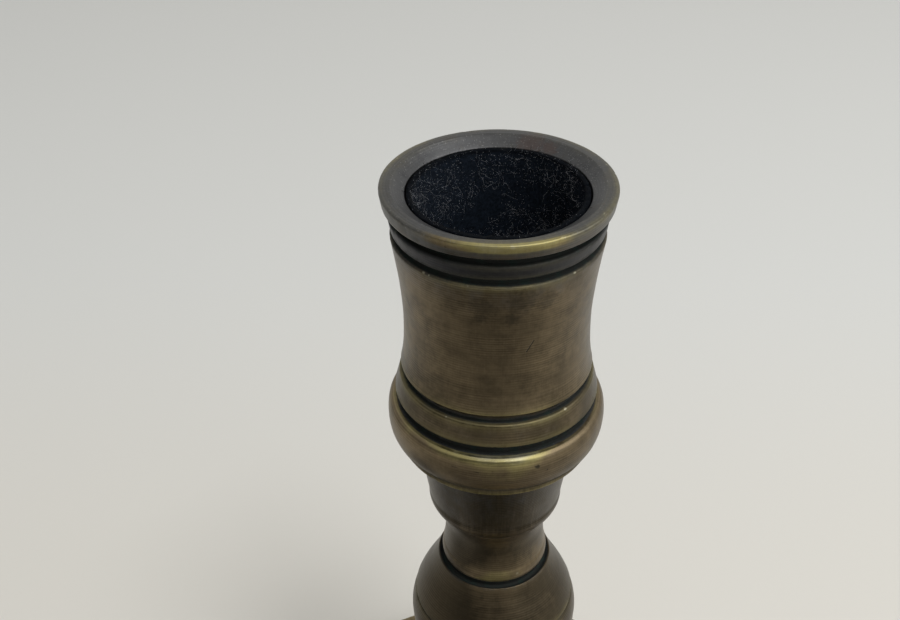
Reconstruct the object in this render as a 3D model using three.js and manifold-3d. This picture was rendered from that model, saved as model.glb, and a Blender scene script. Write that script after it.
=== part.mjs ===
// A turned brass candlestick with a felt-lined socket, in millimetres with +Z up.
// Turned sections are stacked on the axis and drawn together by a tie rod through all of them.
// The origin is the middle of the felt ring that it stands on.

import * as THREE from 'three';
import { mergeVertices } from 'three/addons/utils/BufferGeometryUtils.js';
import Module from 'manifold-3d';

// Tie rod
const ROD_RADIUS = 3;
const ROD_CHAMFER = 0.5;
const ROD_BELOW_NUT = 2;
const ROD_ABOVE_NUT = 0.5;
const ROD_GAP = 0.3; // between the rod and every bore that it passes through

// Nuts and washers on the rod
const NUT_FLATS = 10;
const NUT_CHAMFER = 0.5;
const TOP_NUT_HEIGHT = 3.2;
const BOTTOM_NUT_HEIGHT = 5;
const TOP_WASHER_RADIUS = 6;
const TOP_WASHER_THICKNESS = 1.2;
const BASE_WASHER_RADIUS = 7;
const BASE_WASHER_THICKNESS = 1.6;
const SPRING_WASHER_WIDTH = 2.1;
const SPRING_WASHER_THICKNESS = 1.6;
const SPRING_WASHER_CUT = 1;

// Spigot on top of each section, and its recess in the section above
const SPIGOT_WALL = 1.6;
const SPIGOT_HEIGHT = 2;
const SPIGOT_GAP = 0.3;

// Base: foot, quarter round, step and trumpet, hollow underneath
const FOOT_RADIUS = 45;
const FOOT_EDGE = 4.5;
const FOOT_ROUND = 0.8;
const FOOT_LAND = 5.5;
const FOOT_SEAT = 8.5;
const FOOT_INNER_EDGE = 1.2;
const OVOLO_WIDTH = 6.5;
const OVOLO_HEIGHT = 5.2;
const STEP_WIDTH = 1.5;
const STEP_HEIGHT = 0.8;
const TRUMPET_HEIGHT = 22;
const BASE_TOP_RADIUS = 9.4;
const BASE_TOP_BAND = 1.6;
const BASE_WALL = 3;
const WASHER_SEAT_RISE = 7.5;
const WASHER_SEAT_MARGIN = 1.5;

// Felt ring under the foot
const FOOT_FELT_THICKNESS = 1;
const FOOT_FELT_INSET = 0.9;

// Collar: a bead between two plain bands
const COLLAR_RADIUS = 8.6;
const COLLAR_BAND = 0.7;
const COLLAR_BEAD = 1.7;

// Knop body: foot, neck and swell up to the seam
const KNOP_FOOT_RADIUS = 7.6;
const KNOP_FOOT_BAND = 0.8;
const KNOP_NECK_RADIUS = 6.9;
const KNOP_NECK_RISE = 2.4;
const KNOP_RADIUS = 13.08;
const KNOP_SWELL = 16.9;
const KNOP_CROWN = 3.5;
const KNOP_SEAM_RADIUS = 12.42;
const KNOP_SEAM_GROOVE = 0.3;

// Knop shoulder: an ogee from the seam to the groove under the neck
const SHOULDER_OGEE = 8.2;
const SHOULDER_LEAN = 1.18;
const SHOULDER_LEAN_RISE = 3.3;
const SHOULDER_RIM_RADIUS = 8.58;
const SHOULDER_RIM_DROP = 0.4;

// Neck: groove root, band and waist
const NECK_ROOT_RADIUS = 7.2;
const NECK_ROOT = 1;
const NECK_BAND_RADIUS = 8;
const NECK_BAND_TAPER = 0.2;
const NECK_BAND = 1.8;
const NECK_BAND_STEP = 0.1;
const NECK_WAIST_RADIUS = 7.44;
const NECK_WAIST_RISE = 3.3;
const NECK_TOP_RADIUS = 8.2;
const NECK_TOP_RISE = 3.85;

// Bowl: round foot, tall side, cove and flange
const BOWL_FOOT_RADIUS = 8.2;
const BOWL_HEEL_RADIUS = 10.1;
const BOWL_HEEL = 1.8;
const BOWL_SIDE_RADIUS = 9.74;
const BOWL_FOOT_CURVE = 3.4;
const BOWL_SIDE = 9.25;
const BOWL_TOP_RADIUS = 11.17;
const BOWL_COVE = 1.4;
const BOWL_FLANGE_RADIUS = 13.7;
const BOWL_FLANGE = 1.6;

// Candle cup, from its ring up to its lip
const RING_FOOT_RADIUS = 14.4;
const RING_RADIUS = 15.18;
const RING_SWELL = 3.8;
const RING_TOP_RADIUS = 14.7;
const RING_SHOULDER = 1.95;
const RING_GROOVE_ROOT = 13.2;
const RING_GROOVE = 1.5;
const FILLET_FOOT_RADIUS = 14.1;
const FILLET_TOP_RADIUS = 13.3;
const FILLET_HEIGHT = 3.2;
const CUP_GROOVE_ROOT = 12.5;
const CUP_GROOVE = 1.4;
const CUP_FOOT_RADIUS = 13.1;
const CUP_WAIST_RADIUS = 12.5;
const CUP_TOP_RADIUS = 13.85;
const CUP_FLARE = 7.1;
const CUP_SIDE = 13.2;
const CUP_STRAIGHT = 5.2;
const BAND_GROOVE_ROOT = 13;
const BAND_GROOVE = 0.95;
const BAND_FOOT_RADIUS = 13.74;
const BAND_TOP_RADIUS = 14.05;
const BAND_HEIGHT = 2.1;
const LIP_GROOVE_ROOT = 13.25;
const LIP_GROOVE = 1.3;
const LIP_FOOT_RADIUS = 14.65;
const LIP_RADIUS = 15;
const LIP_HEIGHT = 2.1;
const LIP_ROUND = 0.4;
const LIP_LAND_RADIUS = 13.5;
const MOUTH_BEVEL = 1.15;
const SOCKET_MOUTH_RADIUS = 11.7;
const SOCKET_FLOOR_RADIUS = 10.6;
const CUP_WEB = 2.7;
const NUT_POCKET_GAP = 0.3;

// Felt in the socket: a strip rolled round the wall and a disc on the floor inside it
const FELT_THICKNESS = 0.7;
const FELT_GAP = 0.15;
const FELT_MOUTH_GAP = 0.1;
const FELT_SEAM = 0.6;
const FELT_SEAM_ANGLE = THREE.MathUtils.degToRad(8);
const FELT_DISC_THICKNESS = 1.5;

// Facets
const TURNED_SIDES = 36;
const SMALL_SIDES = 24;
const CURVE_STEPS = 4;
const ROUND_STEPS = 3;

// Sizes that follow from the ones above
const BORE_RADIUS = ROD_RADIUS + ROD_GAP;
const SPIGOT_RADIUS = BORE_RADIUS + SPIGOT_WALL;
const RECESS_RADIUS = SPIGOT_RADIUS + SPIGOT_GAP;
const RECESS_DEPTH = SPIGOT_HEIGHT + SPIGOT_GAP;
const STEP_Z = FOOT_EDGE + OVOLO_HEIGHT + STEP_HEIGHT;
const BASE_HEIGHT = STEP_Z + TRUMPET_HEIGHT + BASE_TOP_BAND;
const WASHER_SEAT = STEP_Z + WASHER_SEAT_RISE;
const COLLAR_HEIGHT = 2 * (COLLAR_BAND + COLLAR_BEAD);
const KNOP_EQUATOR = KNOP_FOOT_BAND + KNOP_NECK_RISE + KNOP_SWELL;
const KNOP_BODY_HEIGHT = KNOP_EQUATOR + KNOP_CROWN;
const SHOULDER_HEIGHT = KNOP_SEAM_GROOVE + SHOULDER_OGEE + SHOULDER_RIM_DROP;
const NECK_WAIST = NECK_ROOT + NECK_BAND + NECK_WAIST_RISE;
const NECK_HEIGHT = NECK_WAIST + NECK_TOP_RISE;
const BOWL_HEIGHT = BOWL_FOOT_CURVE + BOWL_SIDE + BOWL_COVE + BOWL_FLANGE;
const RING_TOP = RING_SWELL + RING_SHOULDER;
const FILLET_FOOT = RING_TOP + RING_GROOVE;
const FILLET_TOP = FILLET_FOOT + FILLET_HEIGHT;
const CUP_FOOT = FILLET_TOP + CUP_GROOVE;
const CUP_WAIST = CUP_FOOT + CUP_FLARE;
const CUP_TOP = CUP_WAIST + CUP_SIDE;
const BAND_FOOT = CUP_TOP + BAND_GROOVE;
const BAND_TOP = BAND_FOOT + BAND_HEIGHT;
const LIP_FOOT = BAND_TOP + LIP_GROOVE;
const CUP_HEIGHT = LIP_FOOT + LIP_HEIGHT;
const SOCKET_MOUTH = CUP_HEIGHT - MOUTH_BEVEL;
const TOP_WASHER_SEAT = RECESS_DEPTH + CUP_WEB;
const TOP_FITTINGS = TOP_WASHER_THICKNESS + TOP_NUT_HEIGHT + ROD_ABOVE_NUT;
const NUT_CORNER_RADIUS = NUT_FLATS / 2 / Math.cos(Math.PI / 6);
const NUT_POCKET_RADIUS = Math.max(TOP_WASHER_RADIUS, NUT_CORNER_RADIUS) + NUT_POCKET_GAP;
const SOCKET_FLOOR = TOP_WASHER_SEAT + TOP_FITTINGS + NUT_POCKET_GAP;
const FELT_FOOT_RADIUS = SOCKET_FLOOR_RADIUS - FELT_GAP;
const FELT_DISC_RADIUS = FELT_FOOT_RADIUS - FELT_THICKNESS - FELT_GAP;

// Height of each section's underside above the table
const BASE_Z = FOOT_FELT_THICKNESS;
const COLLAR_Z = BASE_Z + BASE_HEIGHT;
const KNOP_BODY_Z = COLLAR_Z + COLLAR_HEIGHT;
const SHOULDER_Z = KNOP_BODY_Z + KNOP_BODY_HEIGHT;
const NECK_Z = SHOULDER_Z + SHOULDER_HEIGHT;
const BOWL_Z = NECK_Z + NECK_HEIGHT;
const CUP_Z = BOWL_Z + BOWL_HEIGHT;

// Heights of the fittings on the rod
const TOP_WASHER_Z = CUP_Z + TOP_WASHER_SEAT;
const TOP_NUT_Z = TOP_WASHER_Z + TOP_WASHER_THICKNESS;
const ROD_TOP_Z = TOP_NUT_Z + TOP_NUT_HEIGHT + ROD_ABOVE_NUT;
const BASE_WASHER_Z = BASE_Z + WASHER_SEAT - BASE_WASHER_THICKNESS;
const SPRING_WASHER_Z = BASE_WASHER_Z - SPRING_WASHER_THICKNESS;
const BOTTOM_NUT_Z = SPRING_WASHER_Z - BOTTOM_NUT_HEIGHT;
const ROD_BOTTOM_Z = BOTTOM_NUT_Z - ROD_BELOW_NUT;

const wasm = await Module();
wasm.setup();

/** Revolves a closed outline of (radius, height) about Z. */
function turned(outline, sides = TURNED_SIDES, steps = CURVE_STEPS) {
  outline.closePath();
  const geometry = new THREE.LatheGeometry(outline.getPoints(steps), sides);
  return geometry.rotateX(Math.PI / 2);
}

/** Raises a flat shape along Z. */
function raised(shape, depth, steps = SMALL_SIDES) {
  return new THREE.ExtrudeGeometry(shape, { depth, bevelEnabled: false, curveSegments: steps });
}

/** The solid inside a closed geometry. */
function solid(geometry) {
  const bare = new THREE.BufferGeometry();
  bare.setAttribute('position', geometry.attributes.position);
  bare.setIndex(geometry.index);
  const merged = mergeVertices(bare);
  const vertProperties = new Float32Array(merged.attributes.position.array);
  const triVerts = new Uint32Array(merged.index.array);
  return new wasm.Manifold(new wasm.Mesh({ numProp: 3, vertProperties, triVerts }));
}

/** The geometry of a solid's surface. */
function surface(body) {
  const mesh = body.getMesh();
  const geometry = new THREE.BufferGeometry();
  geometry.setAttribute('position', new THREE.BufferAttribute(mesh.vertProperties, 3));
  geometry.setIndex(new THREE.BufferAttribute(mesh.triVerts, 1));
  geometry.computeVertexNormals();
  return geometry;
}

/** A plain ring with square edges. */
function ring(outer, inner, height, sides = SMALL_SIDES) {
  const outline = new THREE.Path();
  outline.moveTo(inner, 0).lineTo(outer, 0).lineTo(outer, height).lineTo(inner, height);
  return turned(outline, sides);
}

/** Starts a section's outline at its underside, in the recess that takes the spigot below. */
function fromRecess() {
  const outline = new THREE.Path();
  outline.moveTo(BORE_RADIUS, RECESS_DEPTH);
  outline.lineTo(RECESS_RADIUS, RECESS_DEPTH);
  outline.lineTo(RECESS_RADIUS, 0);
  return outline;
}

/** Ends a section's outline at its top face, over the spigot and back into the bore. */
function toSpigot(outline, height) {
  outline.lineTo(SPIGOT_RADIUS, height);
  outline.lineTo(SPIGOT_RADIUS, height + SPIGOT_HEIGHT);
  outline.lineTo(BORE_RADIUS, height + SPIGOT_HEIGHT);
  return outline;
}

function base() {
  const seat = FOOT_RADIUS - FOOT_SEAT;
  const ovoloFoot = FOOT_RADIUS - FOOT_LAND;
  const ovoloTop = ovoloFoot - OVOLO_WIDTH;
  const ovoloTopZ = FOOT_EDGE + OVOLO_HEIGHT;
  const trumpetFoot = ovoloTop - STEP_WIDTH;
  const trumpetTopZ = STEP_Z + TRUMPET_HEIGHT;
  const washerSeat = BASE_WASHER_RADIUS + WASHER_SEAT_MARGIN;
  const roof = STEP_Z - BASE_WALL;

  const outline = new THREE.Path();
  outline.moveTo(BORE_RADIUS, WASHER_SEAT);
  outline.lineTo(washerSeat, WASHER_SEAT);
  outline.quadraticCurveTo(washerSeat, roof, trumpetFoot, roof);
  outline.lineTo(seat, FOOT_INNER_EDGE);
  outline.lineTo(seat, 0);
  outline.lineTo(FOOT_RADIUS - FOOT_ROUND, 0);
  outline.lineTo(FOOT_RADIUS, FOOT_ROUND);
  outline.lineTo(FOOT_RADIUS, FOOT_EDGE - FOOT_ROUND);
  outline.lineTo(FOOT_RADIUS - FOOT_ROUND, FOOT_EDGE);
  outline.lineTo(ovoloFoot, FOOT_EDGE);
  outline.bezierCurveTo(ovoloFoot, FOOT_EDGE + OVOLO_HEIGHT / 2,
    ovoloTop + OVOLO_WIDTH / 2, ovoloTopZ, ovoloTop, ovoloTopZ);
  outline.lineTo(trumpetFoot, ovoloTopZ);
  outline.lineTo(trumpetFoot, STEP_Z);
  outline.quadraticCurveTo(BASE_TOP_RADIUS, STEP_Z, BASE_TOP_RADIUS, trumpetTopZ);
  outline.lineTo(BASE_TOP_RADIUS, BASE_HEIGHT);
  return turned(toSpigot(outline, BASE_HEIGHT));
}

function footFelt() {
  const outer = FOOT_RADIUS - FOOT_ROUND - FOOT_FELT_INSET;
  const inner = FOOT_RADIUS - FOOT_SEAT + FOOT_FELT_INSET;
  return ring(outer, inner, FOOT_FELT_THICKNESS, TURNED_SIDES);
}

function collar() {
  const outline = fromRecess();
  const middle = COLLAR_HEIGHT / 2;
  outline.lineTo(COLLAR_RADIUS, 0);
  outline.absarc(COLLAR_RADIUS, middle, COLLAR_BEAD, -Math.PI / 2, Math.PI / 2);
  outline.lineTo(COLLAR_RADIUS, COLLAR_HEIGHT);
  return turned(toSpigot(outline, COLLAR_HEIGHT), TURNED_SIDES, ROUND_STEPS);
}

function knopBody() {
  const neckZ = KNOP_FOOT_BAND + KNOP_NECK_RISE;
  const seamZ = KNOP_BODY_HEIGHT - KNOP_SEAM_GROOVE;
  const outline = fromRecess();
  outline.lineTo(KNOP_FOOT_RADIUS, 0);
  outline.lineTo(KNOP_FOOT_RADIUS, KNOP_FOOT_BAND);
  outline.quadraticCurveTo(KNOP_NECK_RADIUS, KNOP_FOOT_BAND, KNOP_NECK_RADIUS, neckZ);
  outline.bezierCurveTo(KNOP_NECK_RADIUS, neckZ + KNOP_SWELL / 3,
    KNOP_RADIUS, KNOP_EQUATOR - KNOP_SWELL / 2, KNOP_RADIUS, KNOP_EQUATOR);
  outline.quadraticCurveTo(KNOP_RADIUS, KNOP_EQUATOR + KNOP_CROWN / 2, KNOP_SEAM_RADIUS, seamZ);
  outline.lineTo(KNOP_SEAM_RADIUS - KNOP_SEAM_GROOVE, KNOP_BODY_HEIGHT);
  return turned(toSpigot(outline, KNOP_BODY_HEIGHT));
}

function knopShoulder() {
  const rimZ = KNOP_SEAM_GROOVE + SHOULDER_OGEE;
  const outline = fromRecess();
  outline.lineTo(KNOP_SEAM_RADIUS - KNOP_SEAM_GROOVE, 0);
  outline.lineTo(KNOP_SEAM_RADIUS, KNOP_SEAM_GROOVE);
  outline.bezierCurveTo(KNOP_SEAM_RADIUS - SHOULDER_LEAN, KNOP_SEAM_GROOVE + SHOULDER_LEAN_RISE,
    SHOULDER_RIM_RADIUS + SHOULDER_LEAN, rimZ - SHOULDER_LEAN_RISE, SHOULDER_RIM_RADIUS, rimZ);
  outline.lineTo(NECK_ROOT_RADIUS, SHOULDER_HEIGHT);
  return turned(toSpigot(outline, SHOULDER_HEIGHT));
}

function neck() {
  const bandTop = NECK_ROOT + NECK_BAND;
  const bandTopRadius = NECK_BAND_RADIUS - NECK_BAND_TAPER;
  const outline = fromRecess();
  outline.lineTo(NECK_ROOT_RADIUS, 0);
  outline.lineTo(NECK_ROOT_RADIUS, NECK_ROOT);
  outline.lineTo(NECK_BAND_RADIUS, NECK_ROOT);
  outline.lineTo(bandTopRadius, bandTop);
  outline.lineTo(bandTopRadius - NECK_BAND_STEP, bandTop);
  outline.quadraticCurveTo(NECK_WAIST_RADIUS, NECK_WAIST - NECK_WAIST_RISE / 2,
    NECK_WAIST_RADIUS, NECK_WAIST);
  outline.quadraticCurveTo(NECK_WAIST_RADIUS, NECK_WAIST + NECK_TOP_RISE / 2,
    NECK_TOP_RADIUS, NECK_HEIGHT);
  return turned(toSpigot(outline, NECK_HEIGHT));
}

function bowl() {
  const sideTop = BOWL_FOOT_CURVE + BOWL_SIDE;
  const flangeZ = sideTop + BOWL_COVE;
  const outline = fromRecess();
  outline.lineTo(BOWL_FOOT_RADIUS, 0);
  outline.quadraticCurveTo(BOWL_HEEL_RADIUS, BOWL_HEEL, BOWL_SIDE_RADIUS, BOWL_FOOT_CURVE);
  outline.lineTo(BOWL_TOP_RADIUS, sideTop);
  outline.quadraticCurveTo(BOWL_TOP_RADIUS, flangeZ, BOWL_TOP_RADIUS + BOWL_COVE, flangeZ);
  outline.lineTo(BOWL_FLANGE_RADIUS, flangeZ);
  outline.lineTo(BOWL_FLANGE_RADIUS, BOWL_HEIGHT);
  return turned(toSpigot(outline, BOWL_HEIGHT));
}

/** The cup's outside, from the ring's underside to the flat land on the lip. */
function cupOutside(outline) {
  outline.lineTo(RING_FOOT_RADIUS, 0);
  outline.quadraticCurveTo(RING_RADIUS, RING_SWELL / 3, RING_RADIUS, RING_SWELL);
  outline.quadraticCurveTo(RING_RADIUS, RING_TOP, RING_TOP_RADIUS, RING_TOP);
  outline.lineTo(RING_GROOVE_ROOT, RING_TOP);
  outline.lineTo(RING_GROOVE_ROOT, FILLET_FOOT);
  outline.lineTo(FILLET_FOOT_RADIUS, FILLET_FOOT);
  outline.lineTo(FILLET_TOP_RADIUS, FILLET_TOP);
  outline.lineTo(CUP_GROOVE_ROOT, FILLET_TOP);
  outline.lineTo(CUP_GROOVE_ROOT, CUP_FOOT);
  outline.lineTo(CUP_FOOT_RADIUS, CUP_FOOT);
  outline.quadraticCurveTo(CUP_WAIST_RADIUS, CUP_FOOT + CUP_FLARE / 3, CUP_WAIST_RADIUS, CUP_WAIST);
  outline.quadraticCurveTo(CUP_WAIST_RADIUS, CUP_WAIST + CUP_STRAIGHT, CUP_TOP_RADIUS, CUP_TOP);
  outline.lineTo(BAND_GROOVE_ROOT, CUP_TOP);
  outline.lineTo(BAND_GROOVE_ROOT, BAND_FOOT);
  outline.lineTo(BAND_FOOT_RADIUS, BAND_FOOT);
  outline.lineTo(BAND_TOP_RADIUS, BAND_TOP);
  outline.lineTo(LIP_GROOVE_ROOT, BAND_TOP);
  outline.lineTo(LIP_GROOVE_ROOT, LIP_FOOT);
  outline.lineTo(LIP_FOOT_RADIUS, LIP_FOOT);
  outline.lineTo(LIP_RADIUS, CUP_HEIGHT - LIP_ROUND);
  outline.lineTo(LIP_RADIUS - LIP_ROUND, CUP_HEIGHT);
  outline.lineTo(LIP_LAND_RADIUS, CUP_HEIGHT);
}

/** The tapered socket, and the pocket in its floor that takes the top nut. */
function cupInside(outline) {
  outline.lineTo(SOCKET_MOUTH_RADIUS, SOCKET_MOUTH);
  outline.lineTo(SOCKET_FLOOR_RADIUS, SOCKET_FLOOR);
  outline.lineTo(NUT_POCKET_RADIUS, SOCKET_FLOOR);
  outline.lineTo(NUT_POCKET_RADIUS, TOP_WASHER_SEAT);
  outline.lineTo(BORE_RADIUS, TOP_WASHER_SEAT);
}

function candleCup() {
  const outline = fromRecess();
  cupOutside(outline);
  cupInside(outline);
  return turned(outline);
}

function tieRod() {
  const length = ROD_TOP_Z - ROD_BOTTOM_Z;
  const outline = new THREE.Path();
  outline.moveTo(0, 0);
  outline.lineTo(ROD_RADIUS - ROD_CHAMFER, 0);
  outline.lineTo(ROD_RADIUS, ROD_CHAMFER);
  outline.lineTo(ROD_RADIUS, length - ROD_CHAMFER);
  outline.lineTo(ROD_RADIUS - ROD_CHAMFER, length);
  outline.lineTo(0, length);
  return new THREE.LatheGeometry(outline.getPoints(), SMALL_SIDES).rotateX(Math.PI / 2);
}

/** A hexagon nut with its corners turned off at both ends. */
function nut(height) {
  const corner = NUT_CORNER_RADIUS;
  const hexagon = new THREE.Shape();
  for (let i = 0; i < 6; i++) {
    const angle = i * Math.PI / 3;
    const move = i === 0 ? 'moveTo' : 'lineTo';
    hexagon[move](corner * Math.cos(angle), corner * Math.sin(angle));
  }
  hexagon.closePath();
  const blank = new THREE.Path();
  blank.moveTo(BORE_RADIUS, 0);
  blank.lineTo(corner - NUT_CHAMFER, 0);
  blank.lineTo(corner, NUT_CHAMFER);
  blank.lineTo(corner, height - NUT_CHAMFER);
  blank.lineTo(corner - NUT_CHAMFER, height);
  blank.lineTo(BORE_RADIUS, height);
  return surface(solid(raised(hexagon, height)).intersect(solid(turned(blank, SMALL_SIDES))));
}

/** A ring with a slit of the given width across it at an angle, as a shape to raise. */
function slitRing(outer, inner, slit, angle) {
  const outerTurn = slit / 2 / outer;
  const innerTurn = slit / 2 / inner;
  const shape = new THREE.Shape();
  shape.absarc(0, 0, outer, angle + outerTurn, angle + 2 * Math.PI - outerTurn);
  shape.absarc(0, 0, inner, angle + 2 * Math.PI - innerTurn, angle + innerTurn, true);
  shape.closePath();
  return shape;
}

function springWasher() {
  const outer = BORE_RADIUS + SPRING_WASHER_WIDTH;
  const shape = slitRing(outer, BORE_RADIUS, SPRING_WASHER_CUT, 0);
  return raised(shape, SPRING_WASHER_THICKNESS);
}

/** The felt strip: rolled round the socket's wall, with its two ends meeting at a seam. */
function socketFelt() {
  const depth = SOCKET_MOUTH - SOCKET_FLOOR;
  const height = depth - FELT_MOUTH_GAP;
  const growth = (SOCKET_MOUTH_RADIUS - SOCKET_FLOOR_RADIUS) * height / depth;
  const inner = FELT_FOOT_RADIUS - FELT_THICKNESS;
  const shape = slitRing(FELT_FOOT_RADIUS, inner, FELT_SEAM, FELT_SEAM_ANGLE);
  const geometry = raised(shape, height, TURNED_SIDES);
  const position = geometry.attributes.position;
  const point = new THREE.Vector3();
  for (let i = 0; i < position.count; i++) {
    point.fromBufferAttribute(position, i);
    const spread = 1 + growth * point.z / height / Math.hypot(point.x, point.y);
    position.setXYZ(i, point.x * spread, point.y * spread, point.z);
  }
  geometry.computeVertexNormals();
  return geometry;
}

function feltDisc() {
  const outline = new THREE.Path();
  outline.moveTo(0, 0);
  outline.lineTo(FELT_DISC_RADIUS, 0);
  outline.lineTo(FELT_DISC_RADIUS, FELT_DISC_THICKNESS);
  outline.lineTo(0, FELT_DISC_THICKNESS);
  return new THREE.LatheGeometry(outline.getPoints(), TURNED_SIDES).rotateX(Math.PI / 2);
}

const candlestick = new THREE.Group();

function place(name, geometry, z, color, roughness, metalness) {
  const material = new THREE.MeshStandardMaterial({ color, roughness, metalness });
  const mesh = new THREE.Mesh(geometry, material);
  mesh.name = name;
  mesh.position.z = z;
  candlestick.add(mesh);
}

function placeBrass(name, geometry, z) {
  place(name, geometry, z, 0x7d6c49, 0.42, 1);
}

function placeSteel(name, geometry, z) {
  place(name, geometry, z, 0x9a9b9a, 0.35, 1);
}

function placeFelt(name, geometry, z) {
  place(name, geometry, z, 0x12141c, 0.95, 0);
}

// Turned brass sections, from the foot up
placeBrass('base', base(), BASE_Z);
placeBrass('stem_collar', collar(), COLLAR_Z);
placeBrass('knop_body', knopBody(), KNOP_BODY_Z);
placeBrass('knop_shoulder', knopShoulder(), SHOULDER_Z);
placeBrass('neck', neck(), NECK_Z);
placeBrass('bowl', bowl(), BOWL_Z);
placeBrass('candle_cup', candleCup(), CUP_Z);

// Steel tie rod and what clamps it
placeSteel('tie_rod', tieRod(), ROD_BOTTOM_Z);
placeSteel('top_washer', ring(TOP_WASHER_RADIUS, BORE_RADIUS, TOP_WASHER_THICKNESS), TOP_WASHER_Z);
placeSteel('top_nut', nut(TOP_NUT_HEIGHT), TOP_NUT_Z);
placeSteel('base_washer', ring(BASE_WASHER_RADIUS, BORE_RADIUS, BASE_WASHER_THICKNESS), BASE_WASHER_Z);
placeSteel('spring_washer', springWasher(), SPRING_WASHER_Z);
placeSteel('bottom_nut', nut(BOTTOM_NUT_HEIGHT), BOTTOM_NUT_Z);

// Felt under the foot and in the socket
placeFelt('base_felt_ring', footFelt(), 0);
placeFelt('socket_felt_disc', feltDisc(), CUP_Z + SOCKET_FLOOR);
placeFelt('socket_felt_sleeve', socketFelt(), CUP_Z + SOCKET_FLOOR);

export default candlestick;
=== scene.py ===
# %% [markdown]
# # A turned brass candlestick
# The candlestick is a stack of turned brass sections, drawn together by a steel rod through the
# middle and lined with felt where the candle stands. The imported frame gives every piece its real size
# and place. Its solids could be shaded as they are, but they have flat facets and knife-sharp
# corners, and metal shows both at once. So each brass section is turned afresh here, with rounded
# edges, in the place that the frame gives.

# %% Load the frame
import math
from types import SimpleNamespace

import bmesh
import bpy
import numpy as np
from mathutils import Matrix, Vector, noise


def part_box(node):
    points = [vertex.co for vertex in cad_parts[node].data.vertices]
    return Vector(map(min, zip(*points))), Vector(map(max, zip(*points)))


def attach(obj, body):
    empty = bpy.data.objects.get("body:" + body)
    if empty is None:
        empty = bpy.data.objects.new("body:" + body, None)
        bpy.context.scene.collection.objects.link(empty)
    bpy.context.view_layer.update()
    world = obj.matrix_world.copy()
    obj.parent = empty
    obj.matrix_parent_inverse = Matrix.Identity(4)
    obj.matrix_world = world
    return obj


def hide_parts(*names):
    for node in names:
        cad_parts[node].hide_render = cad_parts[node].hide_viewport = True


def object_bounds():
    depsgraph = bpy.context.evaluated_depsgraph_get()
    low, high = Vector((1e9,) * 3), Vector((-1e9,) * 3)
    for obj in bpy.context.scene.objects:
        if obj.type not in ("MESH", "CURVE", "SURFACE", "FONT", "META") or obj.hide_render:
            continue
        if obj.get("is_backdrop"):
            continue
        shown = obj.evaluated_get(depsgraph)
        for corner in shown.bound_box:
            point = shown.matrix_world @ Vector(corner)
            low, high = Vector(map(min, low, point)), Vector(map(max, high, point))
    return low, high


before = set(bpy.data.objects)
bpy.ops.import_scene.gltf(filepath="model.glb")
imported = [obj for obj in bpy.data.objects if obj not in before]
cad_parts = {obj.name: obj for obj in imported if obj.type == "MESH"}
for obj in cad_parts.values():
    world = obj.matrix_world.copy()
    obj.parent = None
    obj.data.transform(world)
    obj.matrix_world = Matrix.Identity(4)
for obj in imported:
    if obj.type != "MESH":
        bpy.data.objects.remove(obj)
cad_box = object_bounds()
MM = 0.001


def span(node):
    """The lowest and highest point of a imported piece, in millimetres."""
    low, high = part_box(node)
    return low.z / MM, high.z / MM


def foot_to_foot(node, other):
    """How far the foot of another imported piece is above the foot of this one, in millimetres."""
    return span(other)[0] - span(node)[0]


def outer_radius(node):
    """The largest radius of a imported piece, in millimetres."""
    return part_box(node)[1].x / MM


print("packed pieces:", len(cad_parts), "height in mm:", round(cad_box[1].z / MM, 2))

# %% [markdown]
# ## Wires: writing nodes as sums
# Both the shapes and the finishes below are node trees. Nodes could be made and linked one by one,
# but then a short sum takes a dozen lines. This class wraps one output of a node, so that a plain
# expression such as 1 - mask adds the nodes that work it out. Colours and directions go through their
# own kinds of node, because a plain Math node would turn them into a single grey value. Every other
# node comes from the node method.

# %% Wrap a socket


def operators(operation):
    """Two operators that add a node: for a wire and a value, and for a value and a wire."""
    return (
        lambda wire, other: wire.sum(operation, wire, other),
        lambda wire, other: wire.sum(operation, other, wire),
    )


class Wire:
    """One output of a node. Sums with wires add the nodes that work them out."""

    def __init__(self, tree, socket=None):
        self.tree = tree
        self.socket = socket

    def __getitem__(self, output):
        """Another output of the same node."""
        return Wire(self.tree, self.socket.node.outputs[output])

    def node(self, kind, settings=None, sockets=None):
        """Adds a node, sets it up, feeds its sockets by name or place, and gives its first output."""
        made = self.tree.nodes.new(kind)
        for name, value in (settings or {}).items():
            setattr(made, name, value)
        for name, value in (sockets or {}).items():
            fitting = [s for s in made.inputs if s.enabled and s.name == name]
            socket = fitting[0] if fitting else made.inputs[name]
            if isinstance(value, Wire):
                self.tree.links.new(value.socket, socket)
            else:
                socket.default_value = value
        outputs = [s for s in made.outputs if s.enabled]
        return Wire(self.tree, outputs[0] if outputs else None)

    def sum(self, operation, first, second):
        """Works out first and second together, by the kind of node that fits what they carry."""
        pair = [first, second]
        kinds = [item.socket.type for item in pair if isinstance(item, Wire)]
        if "RGBA" in kinds:
            settings = {"data_type": "RGBA", "blend_type": operation}
            pair = [item if isinstance(item, Wire) else (item, item, item, 1) for item in pair]
            return self.node("ShaderNodeMix", settings, {"Factor": 1.0, "A": pair[0], "B": pair[1]})
        if "VECTOR" in kinds:
            pair = [(item, item, item) if isinstance(item, (int, float)) else item for item in pair]
            return self.node("ShaderNodeVectorMath", {"operation": operation}, {0: pair[0], 1: pair[1]})
        return self.node("ShaderNodeMath", {"operation": operation}, {0: first, 1: second})

    __add__, __radd__ = operators("ADD")
    __sub__, __rsub__ = operators("SUBTRACT")
    __mul__, __rmul__ = operators("MULTIPLY")
    __truediv__, __rtruediv__ = operators("DIVIDE")
    __mod__, __rmod__ = operators("MODULO")
    __pow__, __rpow__ = operators("POWER")


print("wires ready")

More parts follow.
